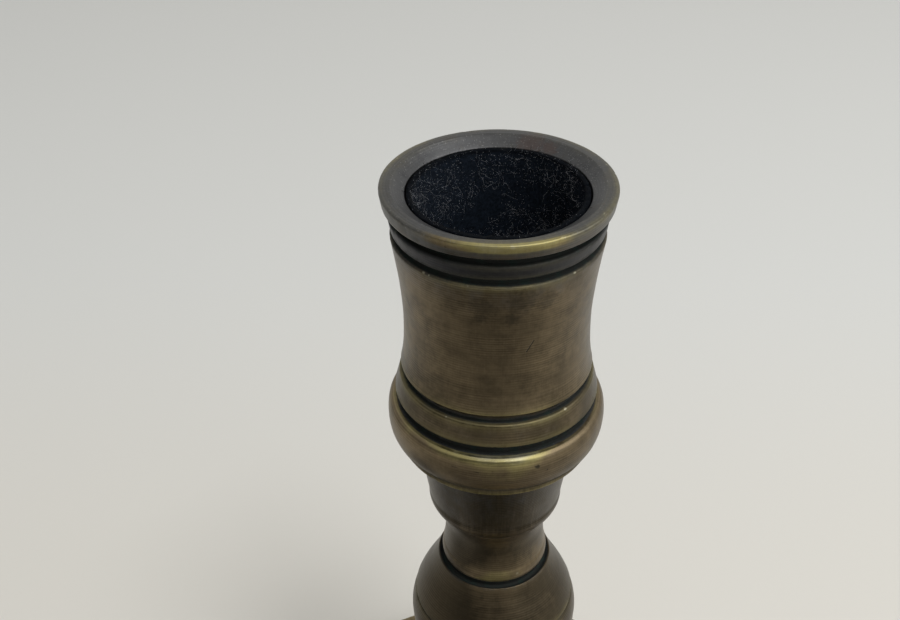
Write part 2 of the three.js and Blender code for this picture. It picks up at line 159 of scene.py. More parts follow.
# %% [markdown]
# A few nodes come up again and again: a cloud of soft noise, a soft step from 0 to 1, and the blend
# of two colours. Each gets a short name here, so that a finish further down reads like a recipe.

# %% Name the common nodes
MIDDLE = 0.5


def vector(x, y, z):
    """A vector from three wires or numbers, at least one of them a wire."""
    wire = next(item for item in (x, y, z) if isinstance(item, Wire))
    return wire.node("ShaderNodeCombineXYZ", {}, {"X": x, "Y": y, "Z": z})


def axes_of(place):
    """A vector's own X, Y and Z, as outputs of one node."""
    return place.node("ShaderNodeSeparateXYZ", {}, {"Vector": place})


def maths(operation, value, other=0.0):
    """A Math node that no operator stands for, such as a sine or the smaller of two values."""
    return value.node("ShaderNodeMath", {"operation": operation}, {0: value, 1: other})


def cloud(place, scale=1.0, detail=2.0, roughness=0.5):
    """Soft random patches, about 0.5 on average, one to a unit of place divided by scale."""
    sockets = {"Vector": place, "Scale": scale, "Detail": detail, "Roughness": roughness}
    return place.node("ShaderNodeTexNoise", {"noise_dimensions": "3D"}, sockets)


def swing(pattern, most):
    """How far a pattern is above or below its middle, times the most that it may count for."""
    return (pattern - MIDDLE) * most


def rise(value, low, high):
    """0 up to low, 1 from high on, with a soft step between."""
    sockets = {"Value": value, "From Min": low, "From Max": high}
    return value.node("ShaderNodeMapRange", {"interpolation_type": "SMOOTHSTEP"}, sockets)


def blend(amount, first, second):
    """The first colour where amount is 0, and the second where it is 1."""
    sockets = {"Factor": amount, "A": first, "B": second}
    return amount.node("ShaderNodeMix", {"data_type": "RGBA"}, sockets)


print("a pattern's middle:", MIDDLE)

# %% [markdown]
# ## Drawing a section's outline
# A turner works from half of the section's shape: its radius at each height. The outline could be a
# long list of points, but then nobody could change it. Here it is drawn with straight lines and
# smooth curves, as a turner would mark it. Along the way it carries the tones that the finish needs
# to know: how golden, blackened, dusty or dirty the metal is there. Each call gives the outline back,
# so that a whole section can be written as one chain.

# %% Draw an outline
EDGE = 0.2
CURVE_STEPS = 14
RUBBED, PLAIN, SEAM = 0.5, 0.0, -1.0


class Outline:
    """Half a turned piece in millimetres: (radius, height) points, drawn anticlockwise."""

    def __init__(self, foot):
        self.foot = foot
        self.points = []
        self.tone()

    def tone(self, gold=0.0, black=0.0, dust=0.0, dirt=0.0, thread=0.0):
        """The tones from here on, and the depth of a screw thread. Below 0, gold is a deeper brown."""
        self.tones = (gold, black, dust, dirt, thread)
        return self

    def line(self, radius, height, edge=EDGE, rub=RUBBED):
        """A straight line to a corner, which is rubbed bright by that much, or grimy as a seam is."""
        self.points.append((radius, self.foot + height, edge, rub, *self.tones))
        return self

    def corners(self, *places, edge=0.0):
        """Straight lines to one corner after another, all with the same edge."""
        for radius, height in places:
            self.line(radius, height, edge=edge)
        return self

    def curve(self, *marks, edge=0.0, rub=RUBBED, late=1):
        """A smooth curve to the last mark, pulled towards those before it. Its tones may change late."""
        start = np.array(self.points[-1][:2]) - (0, self.foot)
        before, after = np.array(self.points[-1][4:]), np.array(self.tones)
        for share in np.linspace(0, 1, CURVE_STEPS + 1)[1:]:
            marked = np.array([start, *marks], float)
            while len(marked) > 1:
                marked = marked[:-1] + share * (marked[1:] - marked[:-1])
            self.tones = tuple(before + share ** late * (after - before))
            self.line(*marked[0], edge=edge if share == 1 else 0.0, rub=rub)
        return self


print("steps in a curve:", CURVE_STEPS)

# %% [markdown]
# No real edge is sharp, so each corner gets a small radius once the outline is drawn. A Bevel
# modifier could do that, but it would know nothing of the finish. While the corners are rounded here,
# the outline also notes which are raised edges, rubbed bright by hands and polish, and which are
# inner corners, where grime stays.

# %% Round its corners
CORNER_STEPS = 4
LONGEST_CORNER = 0.45
LONGEST_STEP = 0.4
HIDDEN_RADIUS = 5.5
WEAR_REACH, GRIME_REACH = 0.4, 0.7
NOTES = ("run", "wear", "grime", "gold", "black", "dust", "thread")


def rounded(outline):
    """Rows of radius, height, turn and tones. Turn is above 0 on a raised edge, below 0 in a corner."""
    drawn = np.array(outline.points)
    rows = []
    for before, corner, after in zip(np.roll(drawn, 1, 0), drawn, np.roll(drawn, -1, 0)):
        spot, edge, rub, tones = corner[:2], corner[2], corner[3], corner[4:]
        back, ahead = before[:2] - spot, after[:2] - spot
        lengths = np.hypot(*back), np.hypot(*ahead)
        if edge == 0 or spot[0] == 0 or min(lengths) == 0:
            rows.append((*spot, 0.0, *tones))
            continue
        back, ahead = back / lengths[0], ahead / lengths[1]
        turn = ahead[0] * back[1] - ahead[1] * back[0]
        if rub < 0:
            turn = rub * abs(turn)
        elif turn > 0 or rub == 0:
            turn *= rub
        reach = min(edge, LONGEST_CORNER * min(lengths))
        for share in np.linspace(0, 1, CORNER_STEPS + 1):
            arc = spot + reach * ((1 - share) ** 2 * back + share ** 2 * ahead)
            rows.append((*arc, turn, *tones))
    if drawn[0][0] > 0:
        rows.append(rows[0])
    return np.array(rows)


def in_short_steps(rows):
    """The same rows with more between them, apart from those that the section's inside hides."""
    steps = [rows[0]]
    for last, row in zip(rows[:-1], rows[1:]):
        length = np.hypot(*(row - last)[:2])
        hidden = max(last[0], row[0]) < HIDDEN_RADIUS
        count = 1 if hidden else math.ceil(length / LONGEST_STEP)
        for share in np.arange(1, count) / max(count, 1):
            between = last + share * (row - last)
            between[2] = 0
            steps.append(between)
        if length > 0:
            steps.append(row)
    return np.array(steps)


def finished(outline):
    """The radius and height of each step of the rounded outline, with its notes for the finish."""
    steps = in_short_steps(rounded(outline))
    radius, height, turn, gold, black, dust, dirt, thread = steps.T
    strides = np.hypot(np.diff(radius, prepend=radius[0]), np.diff(height, prepend=height[0]))
    run = np.cumsum(strides)
    apart = abs(run[:, None] - run[None, :])
    wear = (np.clip(turn, 0, 2) * np.exp(-apart / WEAR_REACH)).max(1)
    grime = np.maximum(dirt, (np.clip(-turn, 0, 1) * np.exp(-apart / GRIME_REACH)).max(1))
    return radius, height, dict(zip(NOTES, (run, wear, grime, gold, black, dust, thread)))


print("corner radius in mm:", EDGE)

# %% [markdown]
# ## The lathe
# Turning is the plainest rule there is: take the outline round the axis. Blender's Spin tool or a
# Screw modifier could do it, but they drop the notes along the outline. So a Geometry Nodes tree does
# it. The first helpers open a tree with named inputs, read and store values by name, and end the tree
# with smooth faces, real copies and a material.

# %% Open and close a tree


def new_tree(name, inputs):
    """An empty geometry tree with these inputs, and the wire of its first one."""
    tree = bpy.data.node_groups.new(name, "GeometryNodeTree")
    for label, kind in inputs.items():
        tree.interface.new_socket(label, in_out="INPUT", socket_type="NodeSocket" + kind)
    tree.interface.new_socket("Geometry", in_out="OUTPUT", socket_type="NodeSocketGeometry")
    return tree, Wire(tree).node("NodeGroupInput")


def read(start, name):
    """A value that was stored on the points under this name."""
    return start.node("GeometryNodeInputNamedAttribute", {"data_type": "FLOAT"}, {"Name": name})


def store(shape, name, value):
    """The shape, with a value stored on its points under this name."""
    sockets = {"Geometry": shape, "Name": name, "Value": value}
    return shape.node("GeometryNodeStoreNamedAttribute", {"data_type": "FLOAT"}, sockets)


def close_tree(shape, material):
    """Ends a geometry tree: smooth faces, real copies and the material."""
    shape = shape.node("GeometryNodeSetShadeSmooth", {}, {"Geometry": shape})
    shape = shape.node("GeometryNodeRealizeInstances", {}, {"Geometry": shape})
    shape = shape.node("GeometryNodeSetMaterial", {}, {"Geometry": shape, "Material": material})
    shape.node("NodeGroupOutput", {}, {"Geometry": shape})


print("notes for the finish:", ", ".join(NOTES))

# %% [markdown]
# The lathe tree makes a grid with one column for each step round the axis, and looks up radius,
# height and notes in the outline for each point. Four more steps are in it. Flats cut the round blank
# from hexagon bar, as a nut is. A thread is a groove that climbs one pitch in each turn. Hand
# polishing leaves the surface a little wavy, and small nicks bite into raised edges.

# %% Lathe tree
NICK_SIZE, NICK_RARITY = 0.9, (0.62, 0.74)
WAVE_SIZE = 0.22
MERGE_WITHIN = 1e-6
FULL_TURN = 2 * math.pi
SIXTH_TURN = math.pi / 3
LATHE_INPUTS = {
    "Geometry": "Geometry",
    "Sides": "Int",
    "Flats": "Float",
    "Pitch": "Float",
    "Nicks": "Float",
    "Waves": "Float",
    "Material": "Material",
}


def lathe_tree():
    """The tree that takes an outline round the axis."""
    tree, outline = new_tree("lathe", LATHE_INPUTS)
    sides = outline["Sides"]
    points = outline.node("GeometryNodeAttributeDomainSize", {}, {"Geometry": outline})
    shape = outline.node("GeometryNodeMeshGrid", {}, {"Vertices X": sides + 1, "Vertices Y": points})
    index = outline.node("GeometryNodeInputIndex")
    row = index % points
    turn = (index - row) / points / sides
    angle = turn * FULL_TURN
    along, across = maths("COSINE", angle), maths("SINE", angle)

    def looked_up(value, kind):
        """The value at this point's row of the outline."""
        sockets = {"Geometry": outline, "Value": value, "Index": row + MIDDLE}
        return outline.node("GeometryNodeSampleIndex", {"data_type": kind}, sockets)

    notes = {name: looked_up(read(outline, name), "FLOAT") for name in NOTES}
    axes = axes_of(looked_up(outline.node("GeometryNodeInputPosition"), "FLOAT_VECTOR"))
    radius, height = axes["X"], axes["Z"]

    flat = outline["Flats"] / 2 / maths("COSINE", angle % SIXTH_TURN - SIXTH_TURN / 2)
    radius = maths("MINIMUM", radius, flat)
    climb = maths("PINGPONG", height / outline["Pitch"] - turn, 0.5)
    radius = radius - notes["thread"] * climb * 2
    place = vector(radius * along, radius * across, height)
    notes["nick"] = rise(cloud(place, NICK_SIZE / MM, 1.0), *NICK_RARITY) * notes["wear"]
    waves = swing(cloud(place, WAVE_SIZE / MM, 1.0), outline["Waves"])
    radius = radius - notes["nick"] * outline["Nicks"] + waves

    for name, value in notes.items():
        shape = store(shape, name, value)
    place = vector(radius * along, radius * across, height)
    shape = outline.node("GeometryNodeSetPosition", {}, {"Geometry": shape, "Position": place})
    sockets = {"Geometry": shape, "Distance": MERGE_WITHIN}
    shape = outline.node("GeometryNodeMergeByDistance", {}, sockets)
    close_tree(shape, outline["Material"])
    return tree


LATHE = lathe_tree()
print("lathe nodes:", len(LATHE.nodes))

# %% [markdown]
# A tree does nothing until a modifier runs it. The next helpers set the modifier's inputs, take the
# mesh that comes out and throw the modifier away, so that what is kept is a plain mesh. Its normals
# are then turned outwards, because a grid wrapped round an axis may come out inside out.

# %% Run a tree
DOUBLES_WITHIN = 1e-7


def new_piece(name, points, edges=(), faces=()):
    """A new mesh object in the scene."""
    mesh = bpy.data.meshes.new(name)
    mesh.from_pydata(points, edges, faces)
    piece = bpy.data.objects.new(name, mesh)
    bpy.context.scene.collection.objects.link(piece)
    return piece


def made_plain(piece):
    """Turns a piece into the plain mesh that its modifiers make of it."""
    graph = bpy.context.evaluated_depsgraph_get()
    made = bpy.data.meshes.new_from_object(piece.evaluated_get(graph))
    piece.modifiers.clear()
    piece.data = made
    return piece


def run_tree(piece, tree, values):
    """Turns a piece into the plain mesh that the tree makes of it."""
    modifier = piece.modifiers.new(tree.name, "NODES")
    modifier.node_group = tree
    for item in tree.interface.items_tree:
        if item.in_out == "INPUT" and item.name in values:
            modifier[item.identifier] = values[item.name]
    return made_plain(piece)


def face_outwards(piece):
    """Merges doubles and turns every face of a closed mesh outwards."""
    shell = bmesh.new()
    shell.from_mesh(piece.data)
    bmesh.ops.remove_doubles(shell, verts=shell.verts, dist=DOUBLES_WITHIN)
    bmesh.ops.recalc_face_normals(shell, faces=shell.faces)
    shell.to_mesh(piece.data)
    shell.free()


print("doubles merged within mm:", DOUBLES_WITHIN / MM)

# %% [markdown]
# Every section is now one call: it turns the outline, and lets the piece ride on the candlestick in
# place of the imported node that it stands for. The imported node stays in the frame, hidden, for the
# physics.

# %% Run the lathe
BRASS_SIDES = 240
NICK_DEPTH, WAVE_DEPTH = 0.14, 0.05
NO_FLATS = 1000.0


def turned(name, outline, material, sides, flats=NO_FLATS, pitch=1.0, nicks=0.0, waves=0.0):
    """Turns an outline on the lathe. Sizes are in millimetres."""
    radius, height, notes = finished(outline)
    points = [(r * MM, 0, z * MM) for r, z in zip(radius, height)]
    piece = new_piece(name, points, edges=[(i, i + 1) for i in range(len(points) - 1)])
    for note, values in notes.items():
        piece.data.attributes.new(note, "FLOAT", "POINT").data.foreach_set("value", values)
    sizes = {"Flats": flats * MM, "Pitch": pitch * MM, "Nicks": nicks * MM, "Waves": waves * MM}
    run_tree(piece, LATHE, {"Sides": sides, "Material": material, **sizes})
    face_outwards(piece)
    print(name, "faces:", len(piece.data.polygons))
    return piece


def stands_for(piece, node):
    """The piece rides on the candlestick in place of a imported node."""
    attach(piece, "root")
    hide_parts(node)
    return piece


def brass_section(node, outline, material):
    """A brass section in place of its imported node, with the nicks and waves of use."""
    name = "turned_" + node
    piece = turned(name, outline, material, BRASS_SIDES, nicks=NICK_DEPTH, waves=WAVE_DEPTH)
    return stands_for(piece, node)


print("sides on a brass section:", BRASS_SIDES)

# %% [markdown]
# ## Aged brass
# The brass was browned on purpose and then rubbed back: a dark satin skin, brown to olive, that is
# thinner and more golden wherever a hand or a cloth reaches, and nearly black where the colouring was
# thick under the lip. A picture of such metal could be wrapped round it, but nodes stay sharp at any
# distance. Brown brass still reflects like metal, only less, so the finish is a metal with a dark
# colour.

# %% Brass colours
DEEP_BROWN = (0.068, 0.055, 0.036, 1)
BROWN = (0.202, 0.157, 0.097, 1)
GOLDEN = (0.4, 0.35, 0.155, 1)
BARE_BRASS = (0.6, 0.57, 0.42, 1)
GUNMETAL = (0.1, 0.101, 0.104, 1)
BLUE_BLACK = (0.046, 0.047, 0.053, 1)
GRIME = (0.026, 0.028, 0.026, 1)
VERDIGRIS = (0.024, 0.034, 0.03, 1)
RED_TARNISH = (0.125, 0.08, 0.066, 1)
DUST = (0.05, 0.054, 0.042, 1)
PALE_DUST = (0.3, 0.3, 0.29, 1)


def new_material(name):
    """A material with an empty node tree, and a wire to start from."""
    material = bpy.data.materials.new(name)
    material.use_nodes = True
    material.node_tree.nodes.clear()
    return material, Wire(material.node_tree)


def in_metres(start):
    """Each place on a piece, in metres."""
    return start.node("ShaderNodeTexCoord")["Object"]


def in_millimetres(start):
    """Each place on a piece, in millimetres."""
    return in_metres(start) * (1 / MM)


def bumped(relief, strength, depth):
    """The bump that a relief makes, with its depth in millimetres."""
    sockets = {"Strength": strength, "Distance": depth * MM, "Height": relief}
    return relief.node("ShaderNodeBump", {}, sockets)


def coat(start, sockets):
    """Ends a material with one surface shader."""
    shader = start.node("ShaderNodeBsdfPrincipled", {}, sockets)
    start.node("ShaderNodeOutputMaterial", {}, {"Surface": shader})


print("brass from", DEEP_BROWN[:3], "to", GOLDEN[:3])

# %% [markdown]
# Years of use leave marks that no even pattern gives: a pit, a scratch, a few stains and bright
# dents. Beside them are painted glints, painted highlights on the front and painted shade at the
# left. They could be painted in a picture, but each is simple enough to write down: degrees round the
# axis, radius, height above the cup's foot and size, in millimetres. A mark is then everything near
# its place, and a scratch is everything near the line between two places.

# %% Marks of use
CUP_Z = span("candle_cup")[0]
# Painted highlights: lighter spots on the front of the knop, the ring, the fillet and the cup's foot.
PAINTED_HIGHLIGHT_SPOTS = ((266, 10.6, -29, 7), (274, 14.8, 5.5, 6), (318, 13.6, 9, 3.5), (330, 13.1, 13.5, 5))
# Painted shade: darker patches at the left of the knop, the neck and the lip.
PAINTED_SHADE_SPOTS = ((214, 11.4, -30, 10.5), (219, 7.7, -20.6, 7.8), (236, 15, 38, 8), (205, 15, 38, 10))
RED_STAINS = ((70, 12.5, 38, 2.6), (58, 12.4, 38, 1.6))
STAINS = (
    (261.4, 13.1, 27.2, 1.2),
    (278.3, 13.07, 27, 1.5),
    (283, 13.4, 29.6, 2.6),
    (297, 13.4, 29.3, 2),
    (262, 13.3, 29, 2.2),
    (221.4, 14.9, 37.8, 0.9),
    (229, 14.7, 37, 0.8),
    (212, 14.9, 37.9, 0.8),
)
PITS = ((291.5, 15.17, 4.2, 0.45), (297, 15.1, 3.2, 0.2), (246, 14.9, 37.6, 0.25))
SCRATCHES = (
    ((291.2, 12.68, 23.1), (287.2, 12.56, 21.5), 0.12),
    ((208, 12.9, 25.4), (213, 12.75, 23.6), 0.1),
    ((262, 15.1, 2.6), (283, 15.1, 2.9), 0.08),
    ((248, 15.18, 4), (262, 15.18, 3.8), 0.07),
)
# Bright dents, apart from the last three, which are painted glints: points of highlight.
DENTS_AND_GLINTS = (
    (276.8, 14.85, 38.4, 0.42),
    (229.7, 13.8, 32.1, 0.3),
    (233.5, 13.8, 32.1, 0.22),
    (255.4, 13.8, 32.2, 0.24),
    (312.3, 13.8, 32.1, 0.3),
    (241, 13.25, 10.4, 0.22),
    (313.4, 13.25, 10.4, 0.3),
    (296.4, 7.9, -24.1, 0.3),
)
print("marks:", len(STAINS) + len(PITS) + len(SCRATCHES) + len(DENTS_AND_GLINTS))

# %% Masks for the marks
SPOT_FADE = (0.3, 1.0)
RAGGED_RIM = 1.5


def on_piece(degrees, radius, above):
    """A place on the candlestick, by degrees round the axis, radius and height above the cup's foot."""
    angle = math.radians(degrees)
    return Vector((radius * math.cos(angle), radius * math.sin(angle), CUP_Z + above))


def between(operation, place, other):
    """A Vector Math node that makes one number of two vectors."""
    return place.node("ShaderNodeVectorMath", {"operation": operation}, {0: place, 1: other})


def strongest(masks):
    """The greatest of several masks at each place."""
    found = masks[0]
    for mask in masks[1:]:
        found = maths("MAXIMUM", found, mask)
    return found


def spots(place, marks, ragged=None):
    """Round marks of one kind, each with a rim that is smooth or made ragged by a pattern."""
    masks = []
    for *spot, size in marks:
        away = between("DISTANCE", place, on_piece(*spot)) / size
        if ragged:
            away = away + swing(ragged, RAGGED_RIM)
        masks.append(1 - rise(away, *SPOT_FADE))
    return strongest(masks)


def scratches(place):
    """Thin straight marks: 1 along each, and 0 beside it."""
    masks = []
    for start, end, width in SCRATCHES:
        start, end = on_piece(*start), on_piece(*end)
        along = end - start
        share = between("DOT_PRODUCT", place - start, along) / along.length_squared
        share = maths("MAXIMUM", maths("MINIMUM", share, 1.0), 0.0)
        nearest = vector(share * along.x, share * along.y, share * along.z) + start
        masks.append(1 - rise(between("DISTANCE", place, nearest), width / 2, width))
    return strongest(masks)


print("a mark's rim in shares of its size:", SPOT_FADE)

# %% [markdown]
# Now the finish itself. Each pattern is a cloud, stretched by the place it is looked up at: long and
# thin round the piece for the lathe's streaks and lines, upright for the wiping of a cloth, and even
# for grain and mottling. The wrapped ones are given by how many fit round a radian and in a
# millimetre along the outline, and the even ones by how many fit in a millimetre. Detail and
# roughness come last.

# %% Patterns on brass
TURNING_PITCH = 0.38
STREAK_DETAIL = (4.0, 0.65)
RIDGES_SHOW = (0.4, 0.6)
BRASS_NOTES = ("run", "wear", "grime", "gold", "black", "dust", "nick")
WRAPPED_PATTERNS = {
    "lines": (0.5, 5.0, 2.0, 0.7),
    "wiped": (75.0, 0.3, 3.0, 0.6),
    "ridged": (1.3, 0.2, 2.0, 0.5),
    "mottle": (6.0, 0.45, 5.0, 0.65),
    "broken": (1.7, 0.1, 3.0, 0.5),
}
EVEN_PATTERNS = {
    "patches": (0.13, 2.0, 0.5),
    "fine": (1.7, 3.0, 0.6),
    "green": (0.9, 3.0, 0.5),
    "flecks": (4.2, 2.0, 0.5),
    "specks": (3.4, 2.0, 0.5),
}


def brass_patterns(start, streaks):
    """Every pattern of the finish and every note from the outline, by name."""
    place = in_millimetres(start)
    axes = axes_of(place)
    x, y = axes["X"], axes["Y"]
    radius = (x * x + y * y) ** 0.5
    found = {}
    for name in BRASS_NOTES:
        found[name] = start.node("ShaderNodeAttribute", {"attribute_name": name})["Fac"]

    def wrapped(around, along, detail, roughness):
        """A cloud that is wrapped round the piece."""
        spot = vector(x / radius * around, y / radius * around, found["run"] * along)
        return cloud(spot, 1.0, detail, roughness)

    found["streaks"] = wrapped(*streaks, *STREAK_DETAIL)
    for name, sizes in WRAPPED_PATTERNS.items():
        found[name] = wrapped(*sizes)
    for name, sizes in EVEN_PATTERNS.items():
        found[name] = cloud(place, *sizes)
    ridges = maths("SINE", found["run"] * (FULL_TURN / TURNING_PITCH))
    found["ridges"] = ridges * rise(found["ridged"], *RIDGES_SHOW)
    return SimpleNamespace(place=place, front=y / radius * -1, **found)


def swings(on, amounts):
    """The swings of several patterns together, each with the most that it may count for."""
    total = 0.0
    for name, most in amounts.items():
        total = total + swing(getattr(on, name), most)
    return total


print("patterns:", 1 + len(WRAPPED_PATTERNS) + len(EVEN_PATTERNS))

# %% [markdown]
# The skin's colour follows one tint: low where the brown is deep, high where it is thin. On the
# front the tint is raised and the skin is less black and more worn through, a painted highlight.
# Lighter spots on the front are painted highlights too, and darker patches at the left are painted
# shade. Where the outline says black, the colouring was thick, and where it says wear, the metal
# below shows.

# %% Brown skin
SKIN_STEPS = ((BROWN, -0.7, 0.5), (GOLDEN, 0.4, 1.2), (BARE_BRASS, 1.1, 1.8))
BLACK_STEPS = ((GUNMETAL, 0.1, 0.6), (BLUE_BLACK, 0.6, 0.95))
TINT_SWINGS = {"streaks": 0.4, "mottle": 1.3, "patches": 0.8}
GOLD_TINT, FRONT_HIGHLIGHT_TINT, FRONT_HIGHLIGHT_GOLD_TINT = 0.75, 0.3, 0.4
PAINTED_HIGHLIGHT_TINT, PAINTED_SHADE_TINT, PAINTED_SHADE_COVER = 0.4, 0.85, 0.75
FRONT, NOT_DEEP = (0.72, 1.0), (-0.95, -0.5)
SOME_GOLD, MUCH_GOLD = (0.0, 0.3), (0.2, 0.5)
SOME_BLACK, BLACK_MOTTLE = (0.0, 0.25), 0.7
BROKEN_WEAR = (0.36, 0.64)
WORN_ANYWHERE, WORN_BROKEN, WORN_FRONT_HIGHLIGHT, BLACK_KEEPS = 0.15, 0.45, 0.9, 0.85


def stepped(value, colour, steps):
    """Goes from colour to colour as a value rises through the range of each step."""
    for following, low, high in steps:
        colour = blend(rise(value, low, high), colour, following)
    return colour


def brown_skin(on):
    """The skin's colour, with painted highlight and painted shade, and where it is worn through."""
    # Painted highlight: the front is made lighter, less black and more worn through.
    front_highlight = rise(on.front, *FRONT) * rise(on.gold, *NOT_DEEP)
    # Painted shade: the patches at the left are made darker and less worn.
    painted_shade = spots(on.place, PAINTED_SHADE_SPOTS)
    tint = on.gold * GOLD_TINT + swings(on, TINT_SWINGS)
    tint = tint + front_highlight * (FRONT_HIGHLIGHT_TINT + rise(on.gold, *SOME_GOLD) * FRONT_HIGHLIGHT_GOLD_TINT)
    tint = tint + spots(on.place, PAINTED_HIGHLIGHT_SPOTS, on.mottle) * PAINTED_HIGHLIGHT_TINT - painted_shade * PAINTED_SHADE_TINT
    blackened = on.black * (1 - front_highlight * rise(on.gold, *MUCH_GOLD))
    blackened = blackened + swing(on.mottle, BLACK_MOTTLE) * rise(on.black, *SOME_BLACK)
    colour = stepped(blackened, stepped(tint, DEEP_BROWN, SKIN_STEPS), BLACK_STEPS)
    broken = rise(on.broken, *BROKEN_WEAR)
    reached = WORN_ANYWHERE + broken * WORN_BROKEN + front_highlight * WORN_FRONT_HIGHLIGHT
    worn = on.wear * reached * (MIDDLE + on.fine) * (1 - on.black * BLACK_KEEPS)
    worn = maths("MINIMUM", worn * (1 - painted_shade * PAINTED_SHADE_COVER), 1.0)
    return blend(worn, colour, GOLDEN), worn


print("skin colours:", 1 + len(SKIN_STEPS) + len(BLACK_STEPS))

# %% [markdown]
# Dust lies on the ledges and dirt sits in the corners, some of it green with verdigris. They aren't
# metal, so the finish needs to know where they are. The marks come last, because they cut through
# everything.

# %% Dirt and marks on brass
DUST_SWINGS = {"fine": 0.8, "mottle": 0.8}
DIRT_SWINGS = {"fine": 0.4, "mottle": 0.7}
DUST_SHOWS, DIRT_SHOWS, GREEN_SHOWS = (0.2, 0.9), (0.15, 0.95), (0.45, 0.7)
FLECKS_SHOW, FLECK_BLACK_FROM, FLECK_BLACK_TO = (0.62, 0.7), (0.5, 0.58), (0.7, 0.8)
SPECKS_SHOW, NICKS_SHOW = (0.66, 0.74), (0.4, 0.9)
FLECK_COVER, SPECK_COVER = 0.5, 0.35
RED_COVER, STAIN_COVER, CUT_COVER = 0.4, 0.32, 0.75
NICK_COVER, DENT_AND_GLINT_COVER = 0.6, 0.38


def dirty(on, colour):
    """The colour under dust, dirt, flecks and specks, with where the dust and the dirt are."""
    dusty = rise(on.dust + swings(on, DUST_SWINGS), *DUST_SHOWS)
    dirt = rise(on.grime + swings(on, DIRT_SWINGS), *DIRT_SHOWS)
    colour = blend(dusty, colour, DUST)
    colour = blend(dirt, colour, blend(rise(on.green, *GREEN_SHOWS), GRIME, VERDIGRIS))
    flecks = rise(on.flecks, *FLECKS_SHOW) * (1 - dirt)
    flecks = flecks * rise(on.black, *FLECK_BLACK_FROM) * (1 - rise(on.black, *FLECK_BLACK_TO))
    colour = blend(flecks * FLECK_COVER, colour, PALE_DUST)
    specks = rise(on.specks, *SPECKS_SHOW) * (1 - dirt)
    return blend(specks * SPECK_COVER, colour, DEEP_BROWN), dusty, dirt


def marked(on, colour):
    """The colour with stains, cuts, bright dent marks and painted glints, and where it is cut."""
    colour = blend(spots(on.place, RED_STAINS, on.fine) * RED_COVER, colour, RED_TARNISH)
    colour = blend(spots(on.place, STAINS, on.fine) * STAIN_COVER, colour, GRIME)
    cuts = maths("MAXIMUM", spots(on.place, PITS, on.fine), scratches(on.place))
    colour = blend(cuts * CUT_COVER, colour, GRIME)
    # The dents and the painted glints are brightened together.
    bright_spots = spots(on.place, DENTS_AND_GLINTS, on.fine) * DENT_AND_GLINT_COVER
    bright = maths("MAXIMUM", rise(on.nick, *NICKS_SHOW) * NICK_COVER, bright_spots)
    return blend(bright, colour, BARE_BRASS), cuts


print("dirt:", GRIME[:3], "verdigris:", VERDIGRIS[:3])

# %% [markdown]
# The last step puts the finish together. Fine streaks run the way that a section was rubbed: round it
# on the lathe, or up and down by hand, so there are two finishes from one recipe.

# %% Aged brass
BRASS_ROUGH, BRASS_BUMP, BRASS_BUMP_DEPTH = 0.37, 0.5, 0.02
ROUGH_SWINGS = {"streaks": 0.2, "fine": 0.12}
LEVEL_SWINGS = {"wiped": 0.26, "fine": 0.4}
RELIEF = {"streaks": 1.0, "lines": 0.6, "wiped": 0.6, "ridges": 0.4, "fine": 0.8}
RIDGE_LEVEL, CUT_DEPTH = 0.14, 2.0
DULL_BLACK, DULL_CALM = (0.3, 0.6), 0.7
WORN_SMOOTH, DIRT_ROUGH, DUST_ROUGH, DULL_ROUGH = 0.06, 0.4, 0.4, 0.04
DIRT_COVER, DUST_COVER = 0.7, 0.9


def aged_brass(name, level, streaks, streak_depth, line_depth):
    """Brass of one level of brightness, with its streaks and how much they and the lines show."""
    material, start = new_material(name)
    on = brass_patterns(start, streaks)
    colour, worn = brown_skin(on)
    dull = rise(on.black, *DULL_BLACK)
    grain = swings(on, {"streaks": streak_depth, "lines": line_depth}) + on.ridges * RIDGE_LEVEL
    colour = colour * (level + grain * (1 - dull * DULL_CALM) + swings(on, LEVEL_SWINGS))
    colour, dusty, dirt = dirty(on, colour)
    colour, cuts = marked(on, colour)
    rough = BRASS_ROUGH + swings(on, ROUGH_SWINGS) - worn * WORN_SMOOTH
    rough = rough + dirt * DIRT_ROUGH + dusty * DUST_ROUGH + dull * DULL_ROUGH
    relief = swings(on, RELIEF) - cuts * CUT_DEPTH
    coat(start, {
        "Base Color": colour,
        "Metallic": 1 - maths("MAXIMUM", dirt * DIRT_COVER, dusty * DUST_COVER),
        "Roughness": rough,
        "Specular IOR Level": 0.0,
        "Normal": bumped(relief, BRASS_BUMP, BRASS_BUMP_DEPTH),
    })
    return material


TURNED_BRASS = aged_brass("turned_brass", 1.0, (1.3, 3.6), 0.26, 0.4)
RUBBED_BRASS = aged_brass("upright_rubbed_brass", 0.82, (38.0, 0.14), 0.9, 0.0)
print("brass nodes:", len(TURNED_BRASS.node_tree.nodes))

# %% [markdown]
# ## Candle cup
# The cup is the showpiece: from its ring it rises through a groove, a sloped fillet and another
# groove to a waisted wall, then two bands and the lip, all turned from one piece, with a tapered
# socket inside. Modelling it with loop cuts would work, but every later change would mean moving
# rings of points by hand. The outline below reads from the ring to the lip in the order in which the
# tool cuts it. Sizes are radii and heights above the cup's foot, in millimetres, and the foot itself
# comes from the frame. Sections register on one another by a small spigot, so each outline starts in
# the recess below and ends over the spigot above.

# %% Spigots
ROD_RADIUS = outer_radius("tie_rod")
ROD_GAP, SPIGOT_WALL = 0.3, 1.6
BORE_RADIUS = ROD_RADIUS + ROD_GAP
SPIGOT_RADIUS = BORE_RADIUS + SPIGOT_WALL
SPIGOT_HEIGHT, SPIGOT_GAP = 2.0, 0.3


def from_recess(node):
    """Starts a section at its underside, in the recess that takes the spigot of the one below."""
    recess = SPIGOT_RADIUS + SPIGOT_GAP
    depth = SPIGOT_HEIGHT + SPIGOT_GAP
    return Outline(span(node)[0]).corners((BORE_RADIUS, depth), (recess, depth), (recess, 0))


